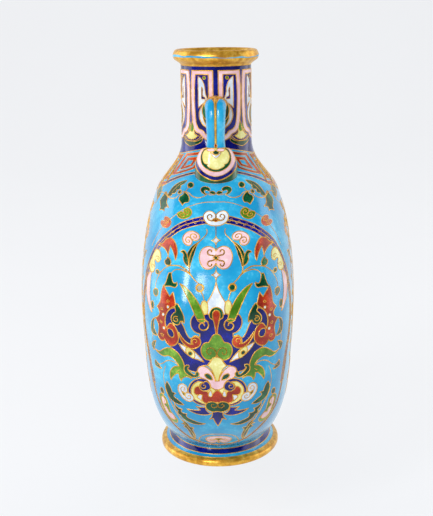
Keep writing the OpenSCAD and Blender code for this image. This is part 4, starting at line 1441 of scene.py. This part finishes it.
strap = Drawing()
strap.panel = as_drawn
strap.cell("gilt", [(-5.95, -0.5), (5.95, -0.5), (5.95, 34.5), (-5.95, 34.5)], 0.0, drawn=True)
for side in (1, -1):
    lobe_edge = [(1.1, 34.6, C), (0.8, 30.0), (0.6, 22), (0.6, 13), (0.8, 8.6), (1.4, 5.2), (2.6, 2.6),
        (4.2, 2.2), (5.5, 4.4), (5.85, 9),
                 (5.85, 24), (5.85, 34.6, C)]
    strap.cell("turquoise", [(side * p[0], *p[1:]) for p in lobe_edge], 0.22)
strap.cell("red", [(0, 30.8, C), (1.0, 32.6), (0, 33.5), (-1.0, 32.6)], 0.3)


def disc_grid(radius, step):
    g = np.arange(-radius, radius + step, step)
    grid = np.array([(x + (k % 2) * step / 2, y) for k, y in enumerate(g) for x in g])
    return grid[np.hypot(grid[:, 0], grid[:, 1]) < radius * 0.985]


def fire(name, drawing, low, high, grid, place, lift, trim=None):
    """Enamel plates and gilt lines on one handle's surface, and again on the handle behind."""
    verts, faces, top = cut_sheet(drawing.cells, np.array(low), np.array(high), grid)
    if trim is not None:
        kept = trim(verts[faces].mean(1))
        faces, top = faces[kept], top[kept]
    used, local = np.unique(faces, return_inverse=True)
    faces, verts = local.reshape(faces.shape), verts[used]
    points = place(verts)
    flat = np.cross(points[faces[:, 1]] - points[faces[:, 0]], points[faces[:, 2]] - points[faces[:, 0]])
    normals = np.zeros_like(points)
    for k in range(3):
        np.add.at(normals, faces[:, k], flat)
    normals /= np.maximum(np.linalg.norm(normals, axis=1), 1e-12)[:, None]
    middle = points.mean(0)
    if np.einsum("ij,ij->i", normals, points - middle).sum() < 0:
        normals, faces = -normals, faces[:, ::-1]
    line_of = np.array([line for _, _, line in drawing.cells])
    edges, radius = drawn_edges(faces, top, line_of, len(points))
    rim = open_rim(faces, len(points))
    radius[rim.ravel()] = np.maximum(radius[rim.ravel()], RIM_LINE)
    edges = np.vstack([edges, rim])
    wired, index = np.unique(edges, return_inverse=True)
    wired_edges, width = index.reshape(edges.shape), radius[wired]
    colours = [colour for colour, _, _ in drawing.cells]
    for end, turn in (("front", 1), ("back", -1)):
        here, out = points * [turn, turn, 1], normals * [turn, turn, 1]
        for colour in sorted(set(colours)):
            chosen = faces[np.isin(top, [k for k, c in enumerate(colours) if c == colour])]
            plate = solid_patch(f"{name}_{end}_{colour}", here, chosen, lift, out, 0.3)
            plate.data.materials.append(ENAMELS[colour])
            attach(plate, "root")
        level = here[wired] + out[wired] * (lift - WIRE_SINK * width)[:, None]
        wires = wire_piece(f"{name}_{end}_gilt", level, wired_edges, width * WIRE_SPREAD, WIRES)
        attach(wires, "root")


strap_grid = np.array([(x, y) for y in np.arange(1, 34, 0.9) for x in np.linspace(-5.6, 5.6, 17)])
STRAP_LIFT, SHIELD_LIFT = 0.12, 0.25  # how far the enamel stands over each
fire("strap", strap, (-5.9, 0.0), (5.9, 34.0), strap_grid, strap_place, STRAP_LIFT)
fire("shield", shield, (-16.5, -16.5), (16.5, 16.5), disc_grid(SHIELD_SHEET, 0.9), shield_place, SHIELD_LIFT,
     lambda q: np.hypot(q[:, 0], q[:, 1]) < SHIELD_SHEET * 0.99)

RIB_X = np.array([-0.15, -0.11, -0.06, 0.0, 0.06, 0.11, 0.15])
RIB_H = np.array([0.02, 0.11, 0.16, 0.18, 0.16, 0.11, 0.02])
RIB_SEAT = lobe(0.14)
DOME = smooth(
    [(8.4, NECK_R - 2.0), (8.7, NECK_R + 1.5), (8.7, ROOT_OUT - 3.4), (8.3, ROOT_OUT - 1.5),
     (7.2, ROOT_OUT - 0.3),
     (4.5, ROOT_OUT + 0.1), (0.4, ROOT_OUT + 0.15)],
    closed=False,
)
DOME_TURN = np.linspace(0, 2 * math.pi, 72, endpoint=False)


def root_leaf(name, flip, side):
    """A dark green leaf on the root's face, beside the strap, with its gilt rim."""
    count = 25
    q = np.radians(np.linspace(-58, 40, count))
    wide = 0.5 + 2.3 * np.sin(np.linspace(0, 1, count) * math.pi) ** 0.7
    rows = []
    for t in (0.0, 0.33, 0.66, 1.0):
        r = 8.1 - wide * t
        y = np.full(count, -ROOT_OUT + 1.0 - 1.2 * t)
        rows.append(np.column_stack([side * r * np.cos(q), y, ROOT_Z + r * np.sin(q)]))
    leaf = np.vstack(rows) * flip
    corners = [count * k + n for k in range(3) for n in range(count - 1)]
    faces = np.array([f for i in corners for f in ((i, i + 1, i + count + 1), (i, i + count + 1, i + count))])
    if side < 0:
        faces = faces[:, ::-1]
    out = np.tile(np.array([0.35 * side, -1.0, 0.0]) * flip, (len(leaf), 1))
    normal = np.cross(leaf[faces[0, 1]] - leaf[faces[0, 0]], leaf[faces[0, 2]] - leaf[faces[0, 0]])
    if normal @ out[0] < 0:
        faces = faces[:, ::-1]
    plate = solid_patch(name, leaf, faces, 0.5, out / np.linalg.norm(out[0]), 0.8)
    plate.data.materials.append(ENAMELS["dark_green"])
    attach(plate, "root")
    rim = np.vstack([leaf[:count], leaf[-count:][::-1]]) + out[: 2 * count] * 0.45
    order = np.arange(len(rim))
    edges = np.column_stack([order, (order + 1) % len(rim)])
    wires = wire_piece(name + "_gilt", rim, edges, np.full(len(rim), 0.28), WIRES)
    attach(wires, "root")


for end, turn in (("front", 1), ("back", -1)):
    flip = np.array([turn, turn, 1])
    core = loft(f"strap_{end}_core", [row * flip for row in strap_core()], ENAMELS["dark_green"],
                closed_ends=True)
    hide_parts(f"handle_strap_{end}")
    rib_rows = []
    for s in np.linspace(0, 0.9, 60):
        over = strap_skin(RIB_X, np.full(len(RIB_X), s), RIB_SEAT + RIB_H)
        under = strap_skin(RIB_X[::-1], np.full(len(RIB_X), s), np.full(len(RIB_X), RIB_SEAT - 0.05))
        rib_rows.append(np.vstack([over, under]) * flip)
    rib = loft(f"rib_{end}_gilt", rib_rows, GILT, closed_ends=True)
    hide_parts(f"handle_rib_{end}")
    root_rows = []
    for r, y in DOME:
        ring = [r * np.cos(DOME_TURN), np.full(len(DOME_TURN), -y), ROOT_Z + r * np.sin(DOME_TURN)]
        root_rows.append(np.column_stack(ring) * flip)
    root = loft(f"root_{end}_gilt", root_rows, GILT, closed_ends=True)
    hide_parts(f"handle_root_{end}")
    for side, hand in ((1, "right"), (-1, "left")):
        root_leaf(f"root_{end}_leaf_{hand}", flip, side)

# ---- camera, light and floor -------------------------------------------------------------------------

scene = bpy.context.scene
scene.view_settings.view_transform = "Standard"


def aimed(item, place, target, roll=0.0):
    ahead = (Vector(target) - Vector(place)).normalized()
    turn = ahead.to_track_quat("-Z", "Y")
    item.rotation_euler = (turn @ Quaternion((0, 0, 1), math.radians(roll))).to_euler()
    item.location = place


camera = bpy.data.objects.new("camera", bpy.data.cameras.new("camera"))
scene.collection.objects.link(camera)
camera.data.lens = 97.43
camera.data.sensor_width = 36.0
SWING, ROLL = math.radians(0.8), -0.65
EYE_AWAY, EYE_HEIGHT = 0.9, 0.3005
aimed(camera, (EYE_AWAY * math.sin(SWING), -EYE_AWAY * math.cos(SWING), EYE_HEIGHT), (-0.001, 0, 0.124), ROLL)
scene.camera = camera


def softbox(name, place, target, width, height, watts, mirrored=True, tint=(1, 1, 1)):
    lamp = bpy.data.lights.new(name, "AREA")
    lamp.shape = "RECTANGLE"
    lamp.size, lamp.size_y, lamp.energy, lamp.color = width, height, watts, tint
    item = bpy.data.objects.new(name, lamp)
    scene.collection.objects.link(item)
    aimed(item, place, target)
    item.visible_glossy = mirrored


softbox("window", (-0.62, -0.95, 0.60), (0, 0, 0.14), 0.18, 0.62, 7.5)
softbox("window_far", (-0.24, -1.3, 0.72), (0, 0, 0.14), 0.22, 0.40, 4.6)
softbox("left_wall", (-1.2, 0.35, 0.4), (0, 0, 0.12), 1.0, 1.3, 8)
softbox("right_wall", (1.2, 0.35, 0.4), (0, 0, 0.12), 1.0, 1.3, 7)
softbox("overhead", (0.0, -0.3, 1.4), (0, 0, 0.1), 1.0, 1.0, 3, mirrored=False)

world = bpy.data.worlds.new("studio")
world.use_nodes = True
world.node_tree.nodes["Background"].inputs["Color"].default_value = (0.95, 0.96, 0.98, 1)
sky = Value(world)
seen = sky.out(sky.node("ShaderNodeLightPath"), "Is Camera Ray")
world.node_tree.links.new((seen * 0.11 + 0.88).socket, world.node_tree.nodes["Background"].inputs["Strength"])
world.cycles_visibility.glossy = False
scene.world = world

floor_material, floor_start, floor_shader, floor_place = new_material("pale floor")
floor_tone = noise(floor_start, floor_place, 6.0)
shader_link(floor_start, floor_shader, "Base Color", mix(floor_start, floor_tone, rgb("6E6F71"),
    rgb("727375")))
floor_shader.inputs["Roughness"].default_value = 0.7
floor_shader.inputs["Emission Color"].default_value = (0.97, 0.98, 1.0, 1)
floor_shader.inputs["Emission Strength"].default_value = 0.685
cove = bpy.data.meshes.new("floor")
run = [(-2.4, 0.0), (0.9, 0.0), (1.3, 0.06), (1.6, 0.3), (1.7, 0.7), (1.7, 3.0)]
profile = smooth(run, closed=False, step=0.1)
points = [(x, y, z) for y, z in profile for x in (-3.5, 3.5)]
cove.from_pydata(points, [], [(2 * k, 2 * k + 1, 2 * k + 3, 2 * k + 2) for k in range(len(profile) - 1)])
cove.polygons.foreach_set("use_smooth", [True] * len(cove.polygons))
floor = bpy.data.objects.new("floor", cove)
scene.collection.objects.link(floor)
floor.data.materials.append(floor_material)
